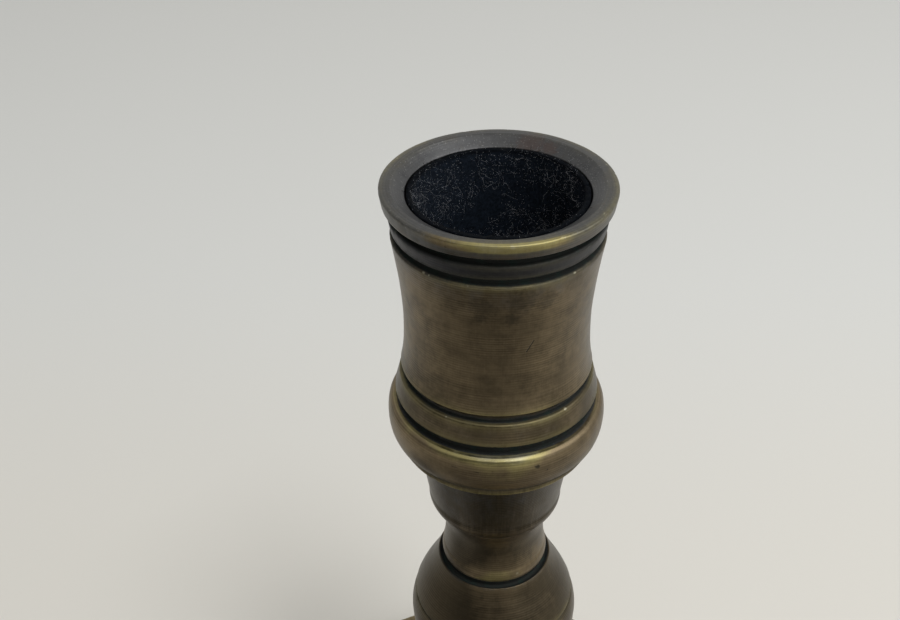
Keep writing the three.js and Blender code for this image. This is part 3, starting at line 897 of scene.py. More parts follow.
def to_spigot(outline, height):
    """Ends a section at its top face, over its own spigot and back into the bore."""
    top = height + SPIGOT_HEIGHT
    return outline.corners((SPIGOT_RADIUS, height), (SPIGOT_RADIUS, top), (BORE_RADIUS, top))


print("bore in mm:", round(2 * BORE_RADIUS, 2))

# %% Cup ring and fillet
RING_FOOT_RADIUS, RING_RADIUS, RING_TOP_RADIUS = 14.4, 15.18, 14.1
RING_SWELL, RING_TOP, RING_LEDGE = 3.3, 5.75, 0.5
RING_GROOVE_ROOT = 13.2
FILLET_FOOT, FILLET_TOP = 7.25, 10.45
FILLET_FOOT_RADIUS, FILLET_TOP_RADIUS = 14.1, 13.3

cup = from_recess("candle_cup")
cup.tone(gold=-0.5).line(RING_FOOT_RADIUS, 0, rub=SEAM)
cup.tone().curve((RING_RADIUS, RING_SWELL / 3), (RING_RADIUS, RING_SWELL))
ring_edge = (RING_RADIUS, RING_TOP), (RING_TOP_RADIUS, RING_TOP)
cup.tone(gold=0.85).curve(*ring_edge, edge=0.4, rub=1.3, late=2)
cup.tone(black=0.7, dust=0.3, dirt=0.4)
cup.line(RING_TOP_RADIUS - RING_LEDGE, RING_TOP, edge=0.1, rub=PLAIN)
cup.tone(black=0.7, dust=0.2, dirt=0.8)
cup.corners((RING_GROOVE_ROOT, RING_TOP), (RING_GROOVE_ROOT, FILLET_FOOT), edge=0.4)
cup.tone(gold=-0.7, black=0.15)
cup.line(FILLET_FOOT_RADIUS, FILLET_FOOT, edge=0.35)
cup.line(FILLET_TOP_RADIUS, FILLET_TOP, edge=0.6)
print("ring in mm:", 2 * RING_RADIUS, "across and", RING_TOP, "high")

# %% Cup wall
CUP_GROOVE_ROOT = 12.5
CUP_FOOT, CUP_WAIST, CUP_TOP = 11.85, 18.95, 32.15
CUP_FOOT_RADIUS, CUP_WAIST_RADIUS, CUP_TOP_RADIUS = 13.1, 12.5, 13.85
CUP_STRAIGHT, CUP_COVE = 5.2, 1.0

cup.tone(black=0.8, dirt=0.3).line(CUP_GROOVE_ROOT, FILLET_TOP, edge=0.3)
hollow = (CUP_GROOVE_ROOT, CUP_FOOT - CUP_COVE / 2)
cup.tone(gold=-0.45).curve(hollow, (CUP_FOOT_RADIUS, CUP_FOOT), edge=1.0, rub=0.4, late=0.7)
flare = (CUP_WAIST_RADIUS, CUP_FOOT + (CUP_WAIST - CUP_FOOT) / 3)
cup.tone(gold=-0.15).curve(flare, (CUP_WAIST_RADIUS, CUP_WAIST))
straight = (CUP_WAIST_RADIUS, CUP_WAIST + CUP_STRAIGHT)
cup.tone(gold=-0.15, black=0.32)
cup.curve(straight, (CUP_TOP_RADIUS, CUP_TOP), edge=0.4, rub=0.3, late=3)
print("waist in mm:", 2 * CUP_WAIST_RADIUS)

# %% Cup bands, lip and socket
BAND_GROOVE_ROOT = 13.0
BAND_FOOT, BAND_TOP = 33.1, 35.2
BAND_FOOT_RADIUS, BAND_TOP_RADIUS = 13.74, 14.05
LIP_GROOVE_ROOT = 13.25
LIP_FOOT, LIP_TOP = 36.5, span("candle_cup")[1] - span("candle_cup")[0]
LIP_FOOT_RADIUS, LIP_RADIUS, LIP_LAND_RADIUS = 14.65, 15.0, 13.5
LIP_ROUND, LAND_MARGIN = 0.7, 0.2
MOUTH_BEVEL = 1.15
MOUTH_RADIUS, SOCKET_FLOOR_RADIUS = 11.7, 10.6
SOCKET_FLOOR = foot_to_foot("candle_cup", "socket_felt_disc")
POCKET_GAP = 0.3
POCKET_RADIUS = outer_radius("top_washer") + POCKET_GAP
POCKET_FLOOR = foot_to_foot("candle_cup", "top_washer")

cup.tone(black=1.0)
cup.corners((BAND_GROOVE_ROOT, CUP_TOP), (BAND_GROOVE_ROOT, BAND_FOOT), edge=0.25)
cup.line(BAND_FOOT_RADIUS, BAND_FOOT, edge=0.35).line(BAND_TOP_RADIUS, BAND_TOP, edge=0.45)
cup.corners((LIP_GROOVE_ROOT, BAND_TOP), (LIP_GROOVE_ROOT, LIP_FOOT), edge=0.3)
cup.tone(gold=-0.2, black=0.4).line(LIP_FOOT_RADIUS, LIP_FOOT, edge=0.3, rub=PLAIN)
cup.tone(gold=0.8, black=0.55).line(LIP_RADIUS, LIP_TOP, edge=LIP_ROUND, rub=0.9)
cup.tone(gold=-0.1, black=0.54)
for radius in (LIP_RADIUS - LIP_ROUND - LAND_MARGIN, LIP_LAND_RADIUS + LAND_MARGIN):
    cup.line(radius, LIP_TOP, edge=0.1, rub=PLAIN)
cup.tone(black=0.6).line(LIP_LAND_RADIUS, LIP_TOP, edge=0.12, rub=0.4)
cup.line(MOUTH_RADIUS, LIP_TOP - MOUTH_BEVEL, edge=0.15, rub=PLAIN)
cup.tone(black=1.0).corners((SOCKET_FLOOR_RADIUS, SOCKET_FLOOR), (POCKET_RADIUS, SOCKET_FLOOR))
cup.corners((POCKET_RADIUS, POCKET_FLOOR), (BORE_RADIUS, POCKET_FLOOR))
brass_section("candle_cup", cup, TURNED_BRASS)

# %% [markdown]
# ## Bowl and neck
# Under the ring sits a small bowl, and under that a waisted neck with one band, over a deep dark
# groove. The bowl is the only section rubbed up and down, which is how one can tell that it was made
# by itself. They share a seam, where a little grime has settled, so the corners there are marked as a
# seam.

# %% Bowl
BOWL_FOOT_RADIUS = 8.2
BOWL_HEEL_RADIUS, BOWL_HEEL = 10.1, 1.8
BOWL_SIDE_RADIUS, BOWL_SIDE_FOOT = 9.74, 3.4
BOWL_TOP_RADIUS, BOWL_SIDE_TOP = 11.17, 12.65
BOWL_COVE = 1.4
FLANGE_RADIUS, FLANGE = outer_radius("bowl"), BOWL_SIDE_TOP + BOWL_COVE
BOWL_HEIGHT = foot_to_foot("bowl", "candle_cup")

bowl = from_recess("bowl")
bowl.tone(gold=-0.2).line(BOWL_FOOT_RADIUS, 0, edge=0.1, rub=SEAM / 2)
bowl.tone(gold=-0.7, black=0.2)
bowl.curve((BOWL_HEEL_RADIUS, BOWL_HEEL), (BOWL_SIDE_RADIUS, BOWL_SIDE_FOOT))
# The bowl is toned a deep brown, partly its own darker finish and partly painted shade; the cove under its
# flange is toned darkest, painted shade under the flange.
bowl.tone(gold=-1.0, black=0.3).line(BOWL_TOP_RADIUS, BOWL_SIDE_TOP, edge=0)
bowl.tone(gold=-1.0, black=0.5)
bowl.curve((BOWL_TOP_RADIUS, FLANGE), (BOWL_TOP_RADIUS + BOWL_COVE, FLANGE))
bowl.tone(gold=-0.2).line(FLANGE_RADIUS, FLANGE)
bowl.tone(gold=-0.5).line(FLANGE_RADIUS, BOWL_HEIGHT, rub=SEAM)
brass_section("bowl", to_spigot(bowl, BOWL_HEIGHT), RUBBED_BRASS)

# %% Neck
NECK_ROOT_RADIUS, NECK_ROOT = 7.5, 0.1
NECK_BAND_RADIUS, NECK_BAND_MIDDLE, NECK_BAND_TOP = 8.0, 1.0, 2.3
NECK_STEP_RADIUS = 7.74
NECK_WAIST_RADIUS, NECK_WAIST = 7.44, 6.1
NECK_HEIGHT = foot_to_foot("neck", "bowl")

neck = from_recess("neck")
neck.tone(black=1.0, dirt=1.0)
neck.line(NECK_ROOT_RADIUS, 0, edge=0.3, rub=SEAM)
neck.line(NECK_ROOT_RADIUS, NECK_ROOT, edge=0.3, rub=SEAM / 2)
neck.tone(gold=0.2)
neck.curve((NECK_BAND_RADIUS, NECK_ROOT), (NECK_BAND_RADIUS, NECK_BAND_MIDDLE), late=0.6)
over = (NECK_BAND_RADIUS, (NECK_BAND_MIDDLE + NECK_BAND_TOP) / 2)
neck.curve(over, (NECK_STEP_RADIUS, NECK_BAND_TOP), edge=0.4, rub=SEAM / 2)
lower_pull = (NECK_WAIST_RADIUS, (NECK_WAIST + NECK_BAND_TOP) / 2)
upper_pull = (NECK_WAIST_RADIUS, (NECK_WAIST + NECK_HEIGHT) / 2)
# The waist's deep brown is partly patina and partly painted shade, for the dark reflections in its middle.
neck.tone(gold=-0.7, black=0.1).curve(lower_pull, (NECK_WAIST_RADIUS, NECK_WAIST))
neck.tone(gold=-0.5).curve(upper_pull, (BOWL_FOOT_RADIUS, NECK_HEIGHT))
brass_section("neck", to_spigot(neck, NECK_HEIGHT), TURNED_BRASS)

# %% [markdown]
# ## Knop
# The knop is the swelling that a hand closes round. It is turned in two parts that meet at a thin
# dark line just above its widest point: a shoulder that runs up in a double curve, and a body that
# draws in below to a slim foot. Drawing the shoulder as one curve with two pulls gives the same easy
# S that a turner's gouge does.

# %% Knop shoulder
SEAM_RADIUS, SEAM_GROOVE = 12.42, 0.3
SEAM_ROOT = SEAM_RADIUS - SEAM_GROOVE
RIM_RADIUS, RIM_DROP, RIM_GROOVE, RIM_LEDGE = 8.58, 0.4, 0.9, 0.5
SHOULDER_LEAN, SHOULDER_LEAN_RISE = 1.18, 3.3
SHOULDER_HEIGHT = foot_to_foot("knop_shoulder", "neck")

shoulder = from_recess("knop_shoulder").line(SEAM_ROOT, 0, edge=0.05, rub=SEAM)
shoulder.tone(gold=-0.75, black=0.05).line(SEAM_RADIUS, SEAM_GROOVE, edge=0.15, rub=0.6)
rim, groove = SHOULDER_HEIGHT - RIM_DROP, SHOULDER_HEIGHT - RIM_GROOVE
lower_pull = (SEAM_RADIUS - SHOULDER_LEAN, SEAM_GROOVE + SHOULDER_LEAN_RISE)
upper_pull = (RIM_RADIUS + SHOULDER_LEAN, rim - SHOULDER_LEAN_RISE)
shoulder.tone(gold=-0.3, black=0.2, dirt=0.3)
shoulder.curve(lower_pull, upper_pull, (RIM_RADIUS, rim), edge=0.2, rub=PLAIN, late=20)
shoulder.tone(black=1.0, dirt=1.0)
shoulder.line(NECK_ROOT_RADIUS + RIM_LEDGE, groove).line(NECK_ROOT_RADIUS, groove)
shoulder.line(NECK_ROOT_RADIUS, SHOULDER_HEIGHT, rub=SEAM)
brass_section("knop_shoulder", to_spigot(shoulder, SHOULDER_HEIGHT), TURNED_BRASS)

# %% Knop body
KNOP_HEIGHT = foot_to_foot("knop_body", "knop_shoulder")
KNOP_RADIUS = outer_radius("knop_body")
KNOP_FOOT_RADIUS, KNOP_FOOT_BAND = 7.6, 0.8
KNOP_NECK_RADIUS, KNOP_NECK, KNOP_EQUATOR = 6.9, 3.2, 20.1

body = from_recess("knop_body")
body.line(KNOP_FOOT_RADIUS, 0, rub=SEAM).line(KNOP_FOOT_RADIUS, KNOP_FOOT_BAND)
body.curve((KNOP_NECK_RADIUS, KNOP_FOOT_BAND), (KNOP_NECK_RADIUS, KNOP_NECK))
swell = KNOP_EQUATOR - KNOP_NECK
lower_pull = (KNOP_NECK_RADIUS, KNOP_NECK + swell / 3)
upper_pull = (KNOP_RADIUS, KNOP_EQUATOR - swell / 2)
body.tone(gold=-0.5).curve(lower_pull, upper_pull, (KNOP_RADIUS, KNOP_EQUATOR))
crown = (KNOP_RADIUS, (KNOP_EQUATOR + KNOP_HEIGHT) / 2)
body.curve(crown, (SEAM_RADIUS, KNOP_HEIGHT - SEAM_GROOVE), edge=0.15, rub=0.6)
body.line(SEAM_ROOT, KNOP_HEIGHT, edge=0.05, rub=SEAM)
brass_section("knop_body", to_spigot(body, KNOP_HEIGHT), TURNED_BRASS)

# %% [markdown]
# ## Collar and base
# A beaded collar joins the knop to the base. The base spreads like a trumpet to a step, a quarter
# round and a flat foot, and is hollow underneath, where the nut of the tie rod sits against a flat
# seat.

# %% Collar
COLLAR_RADIUS, COLLAR_BAND = 8.6, 0.7
COLLAR_HEIGHT = foot_to_foot("stem_collar", "knop_body")

collar = from_recess("stem_collar")
collar.line(COLLAR_RADIUS, 0, rub=SEAM).line(COLLAR_RADIUS, COLLAR_BAND)
bead_top = COLLAR_HEIGHT - COLLAR_BAND
pull = COLLAR_RADIUS + (COLLAR_HEIGHT / 2 - COLLAR_BAND) * 4 / 3
bead = (pull, COLLAR_BAND), (pull, bead_top), (COLLAR_RADIUS, bead_top)
collar.tone(gold=0.3).curve(*bead, edge=EDGE)
collar.tone().line(COLLAR_RADIUS, COLLAR_HEIGHT, rub=SEAM)
brass_section("stem_collar", to_spigot(collar, COLLAR_HEIGHT), TURNED_BRASS)

# %% Base
FOOT_RADIUS, FOOT_EDGE, FOOT_ROUND = outer_radius("base"), 4.5, 0.8
FOOT_SEAT_RADIUS, FOOT_INNER_EDGE = 36.5, 1.2
OVOLO_FOOT_RADIUS, OVOLO_TOP_RADIUS, OVOLO_TOP = 39.5, 33.0, 9.7
STEP_RADIUS, STEP_TOP = 31.5, 10.5
TRUMPET_TOP_RADIUS, TRUMPET_TOP = 9.4, 32.5
BASE_WALL = 3.0
BASE_HEIGHT = foot_to_foot("base", "stem_collar")
WASHER_MARGIN = 1.5
WASHER_SEAT_RADIUS = outer_radius("base_washer") + WASHER_MARGIN
WASHER_SEAT = span("base_washer")[1] - span("base")[0]

base = Outline(span("base")[0])
roof = STEP_TOP - BASE_WALL
base.tone(black=0.55).line(BORE_RADIUS, WASHER_SEAT, edge=0)
base.line(WASHER_SEAT_RADIUS, WASHER_SEAT, edge=0.3)
base.curve((WASHER_SEAT_RADIUS, roof), (STEP_RADIUS, roof))
base.line(FOOT_SEAT_RADIUS, FOOT_INNER_EDGE, edge=0.4).line(FOOT_SEAT_RADIUS, 0)
base.tone(gold=0.25)
base.corners((FOOT_RADIUS, 0), (FOOT_RADIUS, FOOT_EDGE), edge=FOOT_ROUND)
base.line(OVOLO_FOOT_RADIUS, FOOT_EDGE, edge=0.3)
outer_pull = (OVOLO_FOOT_RADIUS, (FOOT_EDGE + OVOLO_TOP) / 2)
upper_pull = ((OVOLO_FOOT_RADIUS + OVOLO_TOP_RADIUS) / 2, OVOLO_TOP)
base.curve(outer_pull, upper_pull, (OVOLO_TOP_RADIUS, OVOLO_TOP))
base.line(STEP_RADIUS, OVOLO_TOP).line(STEP_RADIUS, STEP_TOP)
base.tone(gold=0.1)
base.curve((TRUMPET_TOP_RADIUS, STEP_TOP), (TRUMPET_TOP_RADIUS, TRUMPET_TOP))
base.line(TRUMPET_TOP_RADIUS, BASE_HEIGHT, rub=SEAM)
brass_section("base", to_spigot(base, BASE_HEIGHT), TURNED_BRASS)

# %% [markdown]
# ## Steel fittings
# The tie rod, its washers and its nuts are zinc-plated steel: grey, dull, with a faint crystal bloom.
# Most of them are out of sight, but under the base the rod's end, its nut and two washers show. The
# rod's thread is turned by the lathe tree's climbing groove, and the nut is cut from hexagon bar by
# its flats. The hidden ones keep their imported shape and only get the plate.

# %% Zinc plate
ZINC = (0.4, 0.41, 0.41, 1)
DULL_ZINC = (0.25, 0.255, 0.26, 1)
BLOOM, BLOOM_SHOWS = (0.8, 4.0, 0.6), (0.35, 0.65)
ZINC_GRAIN, GRAIN_LEVEL = 6.0, 0.4
ZINC_ROUGH, BLOOM_ROUGH = 0.3, 0.25
ZINC_BUMP, ZINC_BUMP_DEPTH = 0.4, 0.02
KEPT_STEEL = ("top_washer", "top_nut", "spring_washer")


def zinc_plate():
    """Grey plate with a fine grain and a crystal bloom."""
    material, start = new_material("zinc_plate")
    place = in_millimetres(start)
    bloom = cloud(place, *BLOOM)
    grain = cloud(place, ZINC_GRAIN)
    colour = blend(rise(bloom, *BLOOM_SHOWS), ZINC, DULL_ZINC)
    coat(start, {
        "Base Color": colour * (1 + swing(grain, GRAIN_LEVEL)),
        "Metallic": 1.0,
        "Roughness": ZINC_ROUGH + bloom * BLOOM_ROUGH,
        "Normal": bumped(grain, ZINC_BUMP, ZINC_BUMP_DEPTH),
    })
    return material


ZINC_PLATE = zinc_plate()
for node in KEPT_STEEL:
    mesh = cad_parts[node].data
    mesh.materials.clear()
    mesh.materials.append(ZINC_PLATE)
print("plated:", ", ".join(KEPT_STEEL))

# %% Rod, nut and washer
STEEL_SIDES = 96
STEEL_EDGE = 0.25
NUT_FLATS, NUT_CHAMFER = 10.0, 0.5
ROD_CHAMFER = 0.5
THREAD_PITCH, THREAD_DEPTH, THREAD_LENGTH = 1.0, 0.6, 14.0
THREAD_STEP = 0.08


def flat_ring(node, inner, edge):
    """The outline of a flat ring, or of a disc where inner is 0, from its packed size."""
    foot, top = span(node)
    outer, height = outer_radius(node), top - foot
    return Outline(foot).corners((inner, 0), (outer, 0), (outer, height), (inner, height), edge=edge)


def nut_blank(node):
    """The outline of a nut before its flats are cut: a disc with both rims turned off."""
    foot, top = span(node)
    corner, height = NUT_FLATS / math.sqrt(3), top - foot
    slim = corner - NUT_CHAMFER
    blank = Outline(foot).line(BORE_RADIUS, 0, edge=STEEL_EDGE)
    blank.corners((slim, 0), (corner, NUT_CHAMFER), (corner, height - NUT_CHAMFER), (slim, height))
    return blank.line(BORE_RADIUS, height, edge=STEEL_EDGE)


def threaded_rod(node):
    """The outline of a rod with both ends chamfered and a screw thread on the lower one."""
    foot, top = span(node)
    slim, length = ROD_RADIUS - ROD_CHAMFER, top - foot
    rod = Outline(foot).corners((0, 0), (slim, 0))
    rod.tone(thread=THREAD_DEPTH * MM)
    for height in np.arange(ROD_CHAMFER, THREAD_LENGTH, THREAD_STEP):
        rod.line(ROD_RADIUS, height, edge=0)
    return rod.tone().corners((ROD_RADIUS, length - ROD_CHAMFER), (slim, length), (0, length))


def steel_fitting(name, node, outline, **cut):
    """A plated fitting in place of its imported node."""
    stands_for(turned(name, outline, ZINC_PLATE, STEEL_SIDES, **cut), node)


steel_fitting("threaded_tie_rod", "tie_rod", threaded_rod("tie_rod"), pitch=THREAD_PITCH)
washer = flat_ring("base_washer", BORE_RADIUS, STEEL_EDGE)
steel_fitting("round_base_washer", "base_washer", washer)
steel_fitting("hexagon_bottom_nut", "bottom_nut", nut_blank("bottom_nut"), flats=NUT_FLATS)

# %% [markdown]
# ## Felt
# Nearly black felt lines the socket: a strip rolled round the wall, whose ends meet in an upright
# seam, and a disc on the floor. A felt ring under the foot spares the table. Felt is a mat of fibres
# with no weave, so it could be a fuzzy picture, but its nap stands up where light grazes it. Here the
# strip is a thin closed mesh with an uneven face, and loose fibres are scattered over it afterwards.
# The disc and the ring are turned flat, without fibres.

# %% Felt finish
FELT = (0.0135, 0.0195, 0.03, 1)
DARK_FELT = (0.0045, 0.007, 0.0112, 1)
GREY_LINT = (0.03, 0.033, 0.038, 1)
PALE_LINT = (0.55, 0.56, 0.58, 1)
MATTING = (2.5, 5.0, 0.75)
FELT_BUMP, FELT_BUMP_DEPTH = 0.9, 0.3
RIM_BELOW, RIM_ABOVE = 0.6, 0.1


def felt_finish(name, dark, light, pale, rim_shade):
    """Matted fibres, dark to light over the range that is pale, with painted shade at the rim."""
    material, start = new_material(name)
    place = in_millimetres(start)
    matted = cloud(place, *MATTING)
    top = span("socket_felt_sleeve")[1]
    # Painted shade: the felt is darkened towards the top of the strip, near the socket's rim.
    rim = rise(axes_of(place)["Z"], top - RIM_BELOW, top + RIM_ABOVE)
    coat(start, {
        "Base Color": blend(rise(matted, *pale), dark, light) * (1 - rim * rim_shade),
        "Roughness": 0.95,
        "Specular IOR Level": 0.1,
        "Normal": bumped(matted, FELT_BUMP, FELT_BUMP_DEPTH),
    })
    return material


FELT_FINISH = felt_finish("dark_felt", DARK_FELT, FELT, (0.35, 0.65), 0.75)
LINT_FINISH = felt_finish("pale_lint", GREY_LINT, PALE_LINT, (0.34, 0.63), 0.1)
print("felt finishes:", FELT_FINISH.name, LINT_FINISH.name)

# %% Shape of the felt strip
FELT_THICKNESS = 0.7
FELT_SEAM_DEGREES, FELT_SEAM = 8.0, 0.25
FELT_UNEVEN, LUMPS, SMALL_LUMPS = 0.2, 0.5, 1.3
FELT_RAGGED, RAGGED_WAVES, RAGGED_AT_TOP = 0.3, 9, 12
FELT_RAISED = 0.2
FELT_ROUND, FELT_TUCK = 0.5, 0.06
strip_foot = span("socket_felt_sleeve")[0]
strip_top = span("socket_felt_sleeve")[1] + FELT_RAISED
strip_top_radius = outer_radius("socket_felt_sleeve")
socket_depth = LIP_TOP - MOUTH_BEVEL - SOCKET_FLOOR
strip_taper = (MOUTH_RADIUS - SOCKET_FLOOR_RADIUS) / socket_depth


def strip_point(around, up):
    """A point on the strip's outer face, by its shares of the way round and up."""
    angle = math.radians(FELT_SEAM_DEGREES) + around * FULL_TURN
    wave = Vector((RAGGED_WAVES * math.cos(angle), RAGGED_WAVES * math.sin(angle), MIDDLE))
    ragged = FELT_RAGGED * abs(noise.noise(wave)) * up ** RAGGED_AT_TOP
    height = strip_foot + up * (strip_top - strip_foot) - ragged
    rounding = max(0, 1 - (strip_top - height) / FELT_ROUND)
    radius = strip_top_radius - strip_taper * (strip_top - height) - FELT_TUCK * rounding ** 2
    angle += (MIDDLE - around) * FELT_SEAM / radius
    spot = Vector((radius * math.cos(angle), radius * math.sin(angle), height))
    lumps = abs(noise.noise(spot * LUMPS) + 0.5 * noise.noise(spot * SMALL_LUMPS))
    inward = FELT_UNEVEN * lumps * (1 - rounding)
    return spot * MM - Vector((math.cos(angle), math.sin(angle), 0)) * inward * MM


print("felt strip from", round(strip_foot, 2), "to", round(strip_top, 2), "mm")

# %% Felt strip in the socket
STRIP_COLUMNS, STRIP_ROWS = 240, 84


def grid_faces(columns, rows):
    """Four-sided faces over a grid of points that is stored column by column."""
    faces = []
    for column in range(columns):
        for row in range(rows):
            corner = column * (rows + 1) + row
            faces.append((corner, corner + rows + 1, corner + rows + 2, corner + 1))
    return faces


def solidified(piece, thickness, material):
    """Gives a sheet its thickness, on the side away from its normals, and its material."""
    piece.data.materials.append(material)
    wall = piece.modifiers.new("thickness", "SOLIDIFY")
    wall.thickness = thickness
    wall.offset = -1
    made_plain(piece).data.shade_smooth()


strip_points = [
    strip_point(column / STRIP_COLUMNS, row / STRIP_ROWS)
    for column in range(STRIP_COLUMNS + 1)
    for row in range(STRIP_ROWS + 1)
]
felt_strip = new_piece("felt_strip", strip_points, faces=grid_faces(STRIP_COLUMNS, STRIP_ROWS))
solidified(felt_strip, FELT_THICKNESS * MM, FELT_FINISH)
stands_for(felt_strip, "socket_felt_sleeve")

# %% Felt disc and felt ring
FELT_EDGE = 0.3
DISC_SIDES, RING_SIDES = 120, 240
RING_MARGIN = 0.9

disc_outline = flat_ring("socket_felt_disc", 0, FELT_EDGE)
felt_disc = turned("felt_disc", disc_outline, FELT_FINISH, DISC_SIDES)
stands_for(felt_disc, "socket_felt_disc")

ring_inner = FOOT_SEAT_RADIUS + RING_MARGIN
ring_outline = flat_ring("base_felt_ring", ring_inner, FELT_EDGE)
felt_ring = turned("felt_foot_ring", ring_outline, FELT_FINISH, RING_SIDES)
stands_for(felt_ring, "base_felt_ring")
print("felt ring in mm:", round(2 * outer_radius("base_felt_ring"), 1), "over", round(2 * ring_inner, 1))

# %% [markdown]
# ## Loose fibres
# What tells the eye that this is felt is its nap: short dark fibres all over, and pale lint that has
# caught on them. Hair particles could grow them, but the particles' seeds and settings are hard to
# read back. This tree scatters points over the side of the strip that faces the candle, and stands a
# thin three-sided fibre on each.

# %% One fibre and its roots
DRIFT_SIZE = 0.22
BACK_FACING = 0.002
FIBRE_SIDES = 3


def single_fibre(felt):
    """One upright fibre, with a note of how far up it each point is."""
    end = vector(0.0, 0.0, felt["Length"])
    line = felt.node("GeometryNodeCurvePrimitiveLine", {}, {"End": end})
    line = felt.node("GeometryNodeResampleCurve", {}, {"Curve": line, "Count": felt["Steps"]})
    sockets = {"Resolution": FIBRE_SIDES, "Radius": felt["Thickness"] / 2}
    section = felt.node("GeometryNodeCurvePrimitiveCircle", {}, sockets)
    sockets = {"Curve": line, "Profile Curve": section, "Fill Caps": True}
    fibre = felt.node("GeometryNodeCurveToMesh", {}, sockets)
    up = axes_of(felt.node("GeometryNodeInputPosition"))["Z"]
    return store(fibre, "tip", up / felt["Length"])


def fibre_roots(felt):
    """Points on the faces towards the axis, all over or, with drift, gathered in patches."""
    place = felt.node("GeometryNodeInputPosition")
    facing = axes_of(place * felt.node("GeometryNodeInputNormal"))
    inner = maths("LESS_THAN", facing["X"] + facing["Y"], BACK_FACING)
    inner = inner * maths("GREATER_THAN", cloud(place, DRIFT_SIZE / MM), felt["Drift"])
    area = felt.node("GeometryNodeInputMeshFaceArea") * inner
    sockets = {"Geometry": felt, "Attribute": area}
    total = felt.node("GeometryNodeAttributeStatistic", {"domain": "FACE"}, sockets)["Sum"]
    density = felt["Count"] / total
    sockets = {"Mesh": felt, "Selection": inner, "Density": density, "Seed": felt["Seed"]}
    return felt.node("GeometryNodeDistributePointsOnFaces", {}, sockets)


print("a fibre's sides:", FIBRE_SIDES)

# %% [markdown]
# Each fibre is then tipped at random and bent with soft noise, more towards its tip. Bending one
# shared fibre would be cheaper, but then all would curl alike. So the copies are made real first, and
# each is bent where it stands.

# %% Fibre tree
CURL_SIZE = 0.7
WIDTH_SPREAD, LENGTH_SPREAD = (0.7, 1.4), (0.35, 1.65)
EITHER_WAY, ANY_TURN = (-1.0, 1.0), (0.0, 6.3)
FIBRE_INPUTS = {
    "Geometry": "Geometry",
    "Count": "Int",
    "Steps": "Int",
    "Length": "Float",
    "Thickness": "Float",
    "Tip": "Float",
    "Curl": "Float",
    "Drift": "Float",
    "Seed": "Int",
    "Material": "Material",
}


def fibre_tree():
    """The tree that scatters fibres over a piece of felt."""
    tree, felt = new_tree("fibres", FIBRE_INPUTS)
    fibre = single_fibre(felt)
    roots = fibre_roots(felt)

    def random(spread, seed):
        """A random number for each fibre, from low to high."""
        low, high = spread
        sockets = {"Min": low, "Max": high, "Seed": felt["Seed"] + seed}
        return felt.node("FunctionNodeRandomValue", {"data_type": "FLOAT"}, sockets)

    lean = felt["Tip"]
    tilt = vector(random(EITHER_WAY, 1) * lean, random(EITHER_WAY, 2) * lean, random(ANY_TURN, 3))
    tipped = felt.node("FunctionNodeEulerToRotation", {}, {"Euler": tilt})
    sockets = {"Rotation": roots["Rotation"], "Rotate By": tipped}
    turn = felt.node("FunctionNodeRotateRotation", {"rotation_space": "LOCAL"}, sockets)
    size = vector(random(WIDTH_SPREAD, 4), 1.0, random(LENGTH_SPREAD, 5))
    sockets = {"Points": roots, "Instance": fibre, "Rotation": turn, "Scale": size}
    shape = felt.node("GeometryNodeInstanceOnPoints", {}, sockets)
    shape = felt.node("GeometryNodeRealizeInstances", {}, {"Geometry": shape})

    drift = cloud(felt.node("GeometryNodeInputPosition"), CURL_SIZE / MM, 1.0)["Color"]
    middle = {0: drift, 1: (MIDDLE, MIDDLE, MIDDLE)}
    bend = felt.node("ShaderNodeVectorMath", {"operation": "SUBTRACT"}, middle)
    bend = bend * (read(felt, "tip") * felt["Curl"])
    shape = felt.node("GeometryNodeSetPosition", {}, {"Geometry": shape, "Offset": bend})
    close_tree(shape, felt["Material"])
    return tree


FIBRES = fibre_tree()
print("fibre nodes:", len(FIBRES.nodes))

# %% [markdown]
# The tree runs four times: for the nap, for specks of lint, which lie in drifts, for stray hairs and
# for a few long strands. Their sizes are in millimetres, and each kind has a seed of its own, so that
# it comes out the same every time.

# %% Nap, lint and hairs
FIBRE_LABELS = ("Count", "Steps", "Tip", "Drift", "Seed")
FIBRE_SIZE_LABELS = ("Length", "Thickness", "Curl")
LOOSE_FIBRES = (
    ("felt_nap", FELT_FINISH, (8000, 4, 1.0, 0.0, 11), (0.55, 0.035, 0.8)),
    ("lint_specks", LINT_FINISH, (9000, 3, 1.5, 0.42, 5), (0.11, 0.032, 0.3)),
    ("stray_hairs", LINT_FINISH, (1200, 12, 1.5, 0.46, 8), (1.8, 0.014, 2.6)),
    ("long_strands", LINT_FINISH, (36, 20, 1.5, 0.45, 3), (3.4, 0.028, 4.5)),
)

for name, material, settings, sizes in LOOSE_FIBRES:
    piece = bpy.data.objects.new(name, felt_strip.data.copy())
    bpy.context.scene.collection.objects.link(piece)
    values = dict(zip(FIBRE_LABELS, settings))
    values.update(zip(FIBRE_SIZE_LABELS, (size * MM for size in sizes)))
    run_tree(piece, FIBRES, {"Material": material, **values})
    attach(piece, "root")
    print(name, "faces:", len(piece.data.polygons))

# %% [markdown]
# ## Floor and light
# The candlestick stands on a pale floor, which is a little warmer in front, where the room's own
# light falls on it. It could be one flat colour, but a faint tooth keeps it from looking like paper.

# %% Floor
FLOOR_SIZE, FLOOR_DROP = 4.0, 0.0001
FLOOR_COLOUR = (0.635, 0.637, 0.617, 1)
FLOOR_WARM = (0.637, 0.618, 0.572, 1)
FLOOR_SHADE = (0.5, 0.5, 0.485, 1)
WARM_FROM, WARM_ALL = -0.2, -0.04
TOOTH, TOOTH_SHADE = (900.0, 3.0), 0.06


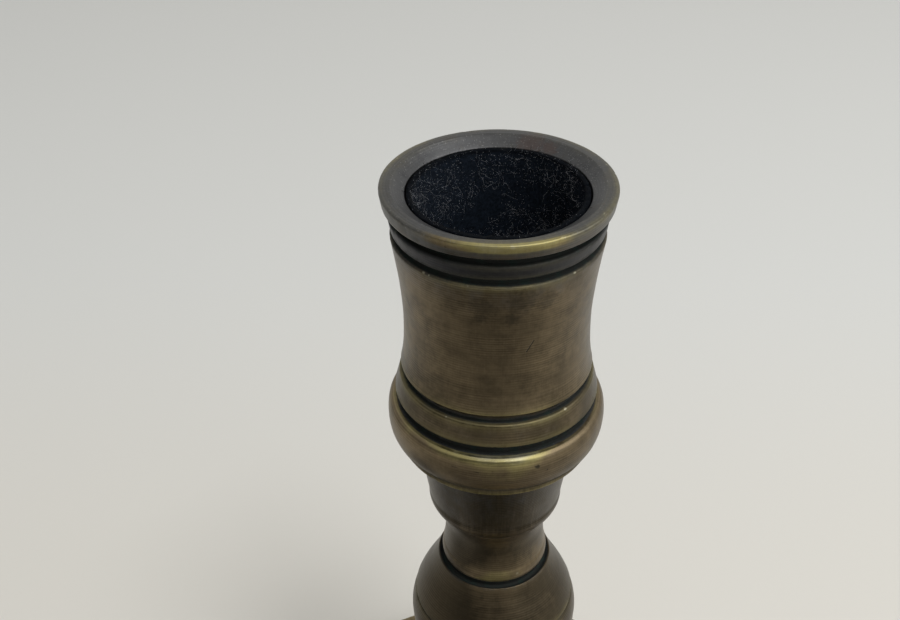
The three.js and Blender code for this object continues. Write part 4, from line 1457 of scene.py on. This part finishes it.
def flat_sheet(name, low, high, height, material):
    """A level rectangle between two corners, which isn't part of the candlestick."""
    (left, front), (right, back) = low, high
    points = [(left, front, height), (right, front, height), (right, back, height), (left, back, height)]
    sheet = new_piece(name, points, faces=[(0, 1, 2, 3)])
    sheet.data.materials.append(material)
    sheet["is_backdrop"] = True
    return sheet


def floor_finish():
    """A pale floor with a faint tooth, warmer towards the front."""
    material, start = new_material("pale_floor")
    place = in_metres(start)
    ahead = axes_of(place)["Y"] * -1
    colour = blend(rise(ahead, WARM_FROM, WARM_ALL), FLOOR_COLOUR, FLOOR_WARM)
    colour = blend(cloud(place, *TOOTH) * TOOTH_SHADE, colour, FLOOR_SHADE)
    coat(start, {"Base Color": colour, "Roughness": 0.9, "Specular IOR Level": 0.1})
    return material


half = FLOOR_SIZE / 2
flat_sheet("floor", (-half, -half), (half, half), -FLOOR_DROP, floor_finish())
print("floor in m:", FLOOR_SIZE)

# %% [markdown]
# The light is soft daylight from the right. The world is a plain gradient, brighter overhead, behind
# and to the right, and dimmer in front, where someone stands with the camera. A large lamp is the
# window. A smaller one, further round to the front, makes the soft shadow; it is kept out of the
# reflections, as a polarising filter would do. The levels are set so that mid-grey would come out
# mid-grey.

# %% Sky
SKY_COLOUR = (1.0, 0.995, 0.97, 1)
HORIZON_LIGHT, ZENITH_LIGHT, RIGHT_LIGHT = 0.36, 0.62, 0.1
BACK_LIGHT, FRONT_SHADE = 0.32, 0.8
LOW_SKY, ONE_SIDE = (0.35, 0.75), (0.2, 0.8)

world = bpy.data.worlds.new("daylight")
bpy.context.scene.world = world
world.use_nodes = True
world.node_tree.nodes.clear()
sky = Wire(world.node_tree)
axes = axes_of(sky.node("ShaderNodeTexCoord")["Generated"])
low = 1 - rise(axes["Z"], *LOW_SKY)
level = HORIZON_LIGHT + rise(axes["Z"], 0.0, 1.0) * (ZENITH_LIGHT - HORIZON_LIGHT)
level = level + axes["X"] * RIGHT_LIGHT + rise(axes["Y"], *ONE_SIDE) * low * BACK_LIGHT
level = level * (1 - rise(axes["Y"] * -1, *ONE_SIDE) * low * FRONT_SHADE)
daylight = sky.node("ShaderNodeBackground", {}, {"Color": SKY_COLOUR, "Strength": level})
sky.node("ShaderNodeOutputWorld", {}, {"Surface": daylight})
print("sky from", HORIZON_LIGHT, "to", ZENITH_LIGHT)

# %% Lamps
WINDOW = ((0.65, -0.3, 0.75), 1.2, 6.2)
SHADOW_LAMP = ((0.3, -0.31, 0.95), 0.28, 3.4)


def soft_lamp(name, place, size, power):
    """A square lamp that faces the candlestick's foot."""
    lamp = bpy.data.lights.new(name, "AREA")
    lamp.size = size
    lamp.energy = power
    holder = bpy.data.objects.new(name, lamp)
    holder.location = place
    holder.rotation_mode = "QUATERNION"
    holder.rotation_quaternion = (-Vector(place)).to_track_quat("-Z", "Y")
    bpy.context.scene.collection.objects.link(holder)
    return holder


window = soft_lamp("window", *WINDOW)
shadow_lamp = soft_lamp("shadow_lamp", *SHADOW_LAMP)
shadow_lamp.visible_glossy = False
bpy.context.scene.view_settings.view_transform = "Standard"
print("lamps in W:", window.data.energy, shadow_lamp.data.energy)

# %% [markdown]
# ## Dark cards for the reflections
# Brass shows what is round it. In the photograph its middle is dark, because whoever held the camera
# leaned over the table in front of it. A studio does that on purpose, with dark cards laid where the
# metal mirrors them. Painting the dark into the metal would be wrong, because it would stay there in
# other light. These cards lie on the floor in front and to the left, fade out at their rims, and are
# seen only in reflections, so the floor stays pale.

# %% Dark cards
CARD_COLOUR = (0.03, 0.029, 0.028, 1)
CARD_LIFT, CARD_FADE = 0.0004, (0.2, 1.0)
FRONT_CARD = ((-0.32, -0.65), (0.3, -0.046))
FRONT_PATCHES = (((-0.015, -0.09), (0.27, 0.55), 0.72), ((-0.03, -0.06), (0.16, 0.08), 0.1))
SIDE_CARD = ((-0.2, -0.046), (-0.046, 0.09))
SIDE_PATCHES = (((-0.085, -0.005), (0.036, 0.05), 0.9),)


def card_finish(name, patches):
    """Dark, in patches that fade out: each has its middle, its reach across and along, and its cover."""
    material, start = new_material(name)
    axes = axes_of(in_metres(start))
    cover = 0.0
    for middle, reach, most in patches:
        across = (axes["X"] - middle[0]) / reach[0]
        along = (axes["Y"] - middle[1]) / reach[1]
        away = (across * across + along * along) ** 0.5
        cover = cover + (1 - rise(away, *CARD_FADE)) * most
    clear = start.node("ShaderNodeBsdfTransparent")
    dark = start.node("ShaderNodeBsdfDiffuse", {}, {"Color": CARD_COLOUR})
    faded = start.node("ShaderNodeMixShader", {}, {"Fac": cover, 1: clear, 2: dark})
    start.node("ShaderNodeOutputMaterial", {}, {"Surface": faded})
    return material


def dark_card(name, corners, patches):
    """A card on the floor that only reflections show."""
    card = flat_sheet(name, *corners, CARD_LIFT, card_finish(name, patches))
    card.visible_camera = False
    card.visible_diffuse = False
    card.visible_shadow = False
    print(name, "in mm:", [round((b - a) / MM) for a, b in zip(*corners)])


dark_card("front_card", FRONT_CARD, FRONT_PATCHES)
dark_card("side_card", SIDE_CARD, SIDE_PATCHES)

# %% [markdown]
# ## Camera
# The photograph looks down at the cup from close by. The camera's place and tilt were worked out from
# how round the cup's circles look: a circle that is seen from above is an ellipse, and how much it is
# flattened gives the angle. The camera is set by its pitch, yaw and roll.

# %% Camera
CAMERA_PLACE = Vector((0.00009, -0.12408, 0.20495))
PITCH, YAW, ROLL = math.radians(35.24), math.radians(-2.935), math.radians(0.96)
LENS, SENSOR, NEAREST = 45.47, 36.0, 0.01

level_ahead = Vector((math.sin(YAW), math.cos(YAW), 0))
forward = level_ahead * math.cos(PITCH) - Vector((0, 0, math.sin(PITCH)))
level_right = Vector((math.cos(YAW), -math.sin(YAW), 0))
level_down = forward.cross(level_right)
right = math.cos(ROLL) * level_right + math.sin(ROLL) * level_down
down = -math.sin(ROLL) * level_right + math.cos(ROLL) * level_down
lens = bpy.data.cameras.new("camera")
lens.lens = LENS
lens.sensor_width = SENSOR
lens.sensor_fit = "HORIZONTAL"
lens.clip_start = NEAREST
camera = bpy.data.objects.new("camera", lens)
turn = Matrix((right, -down, -forward)).transposed().to_4x4()
camera.matrix_world = Matrix.Translation(CAMERA_PLACE) @ turn
bpy.context.scene.collection.objects.link(camera)
bpy.context.scene.camera = camera
print("camera in mm:", [round(c / MM, 1) for c in camera.location])

# %% [markdown]
# ## Size
# The boxes round the frame and round the dressed candlestick are printed side by side.
# The dressed candlestick has to stay as large as the frame says.

# %% Print both boxes
sizes = {"cad": [list(corner) for corner in cad_box], "visual": [list(corner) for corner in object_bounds()]}
print("boxes:", sizes)
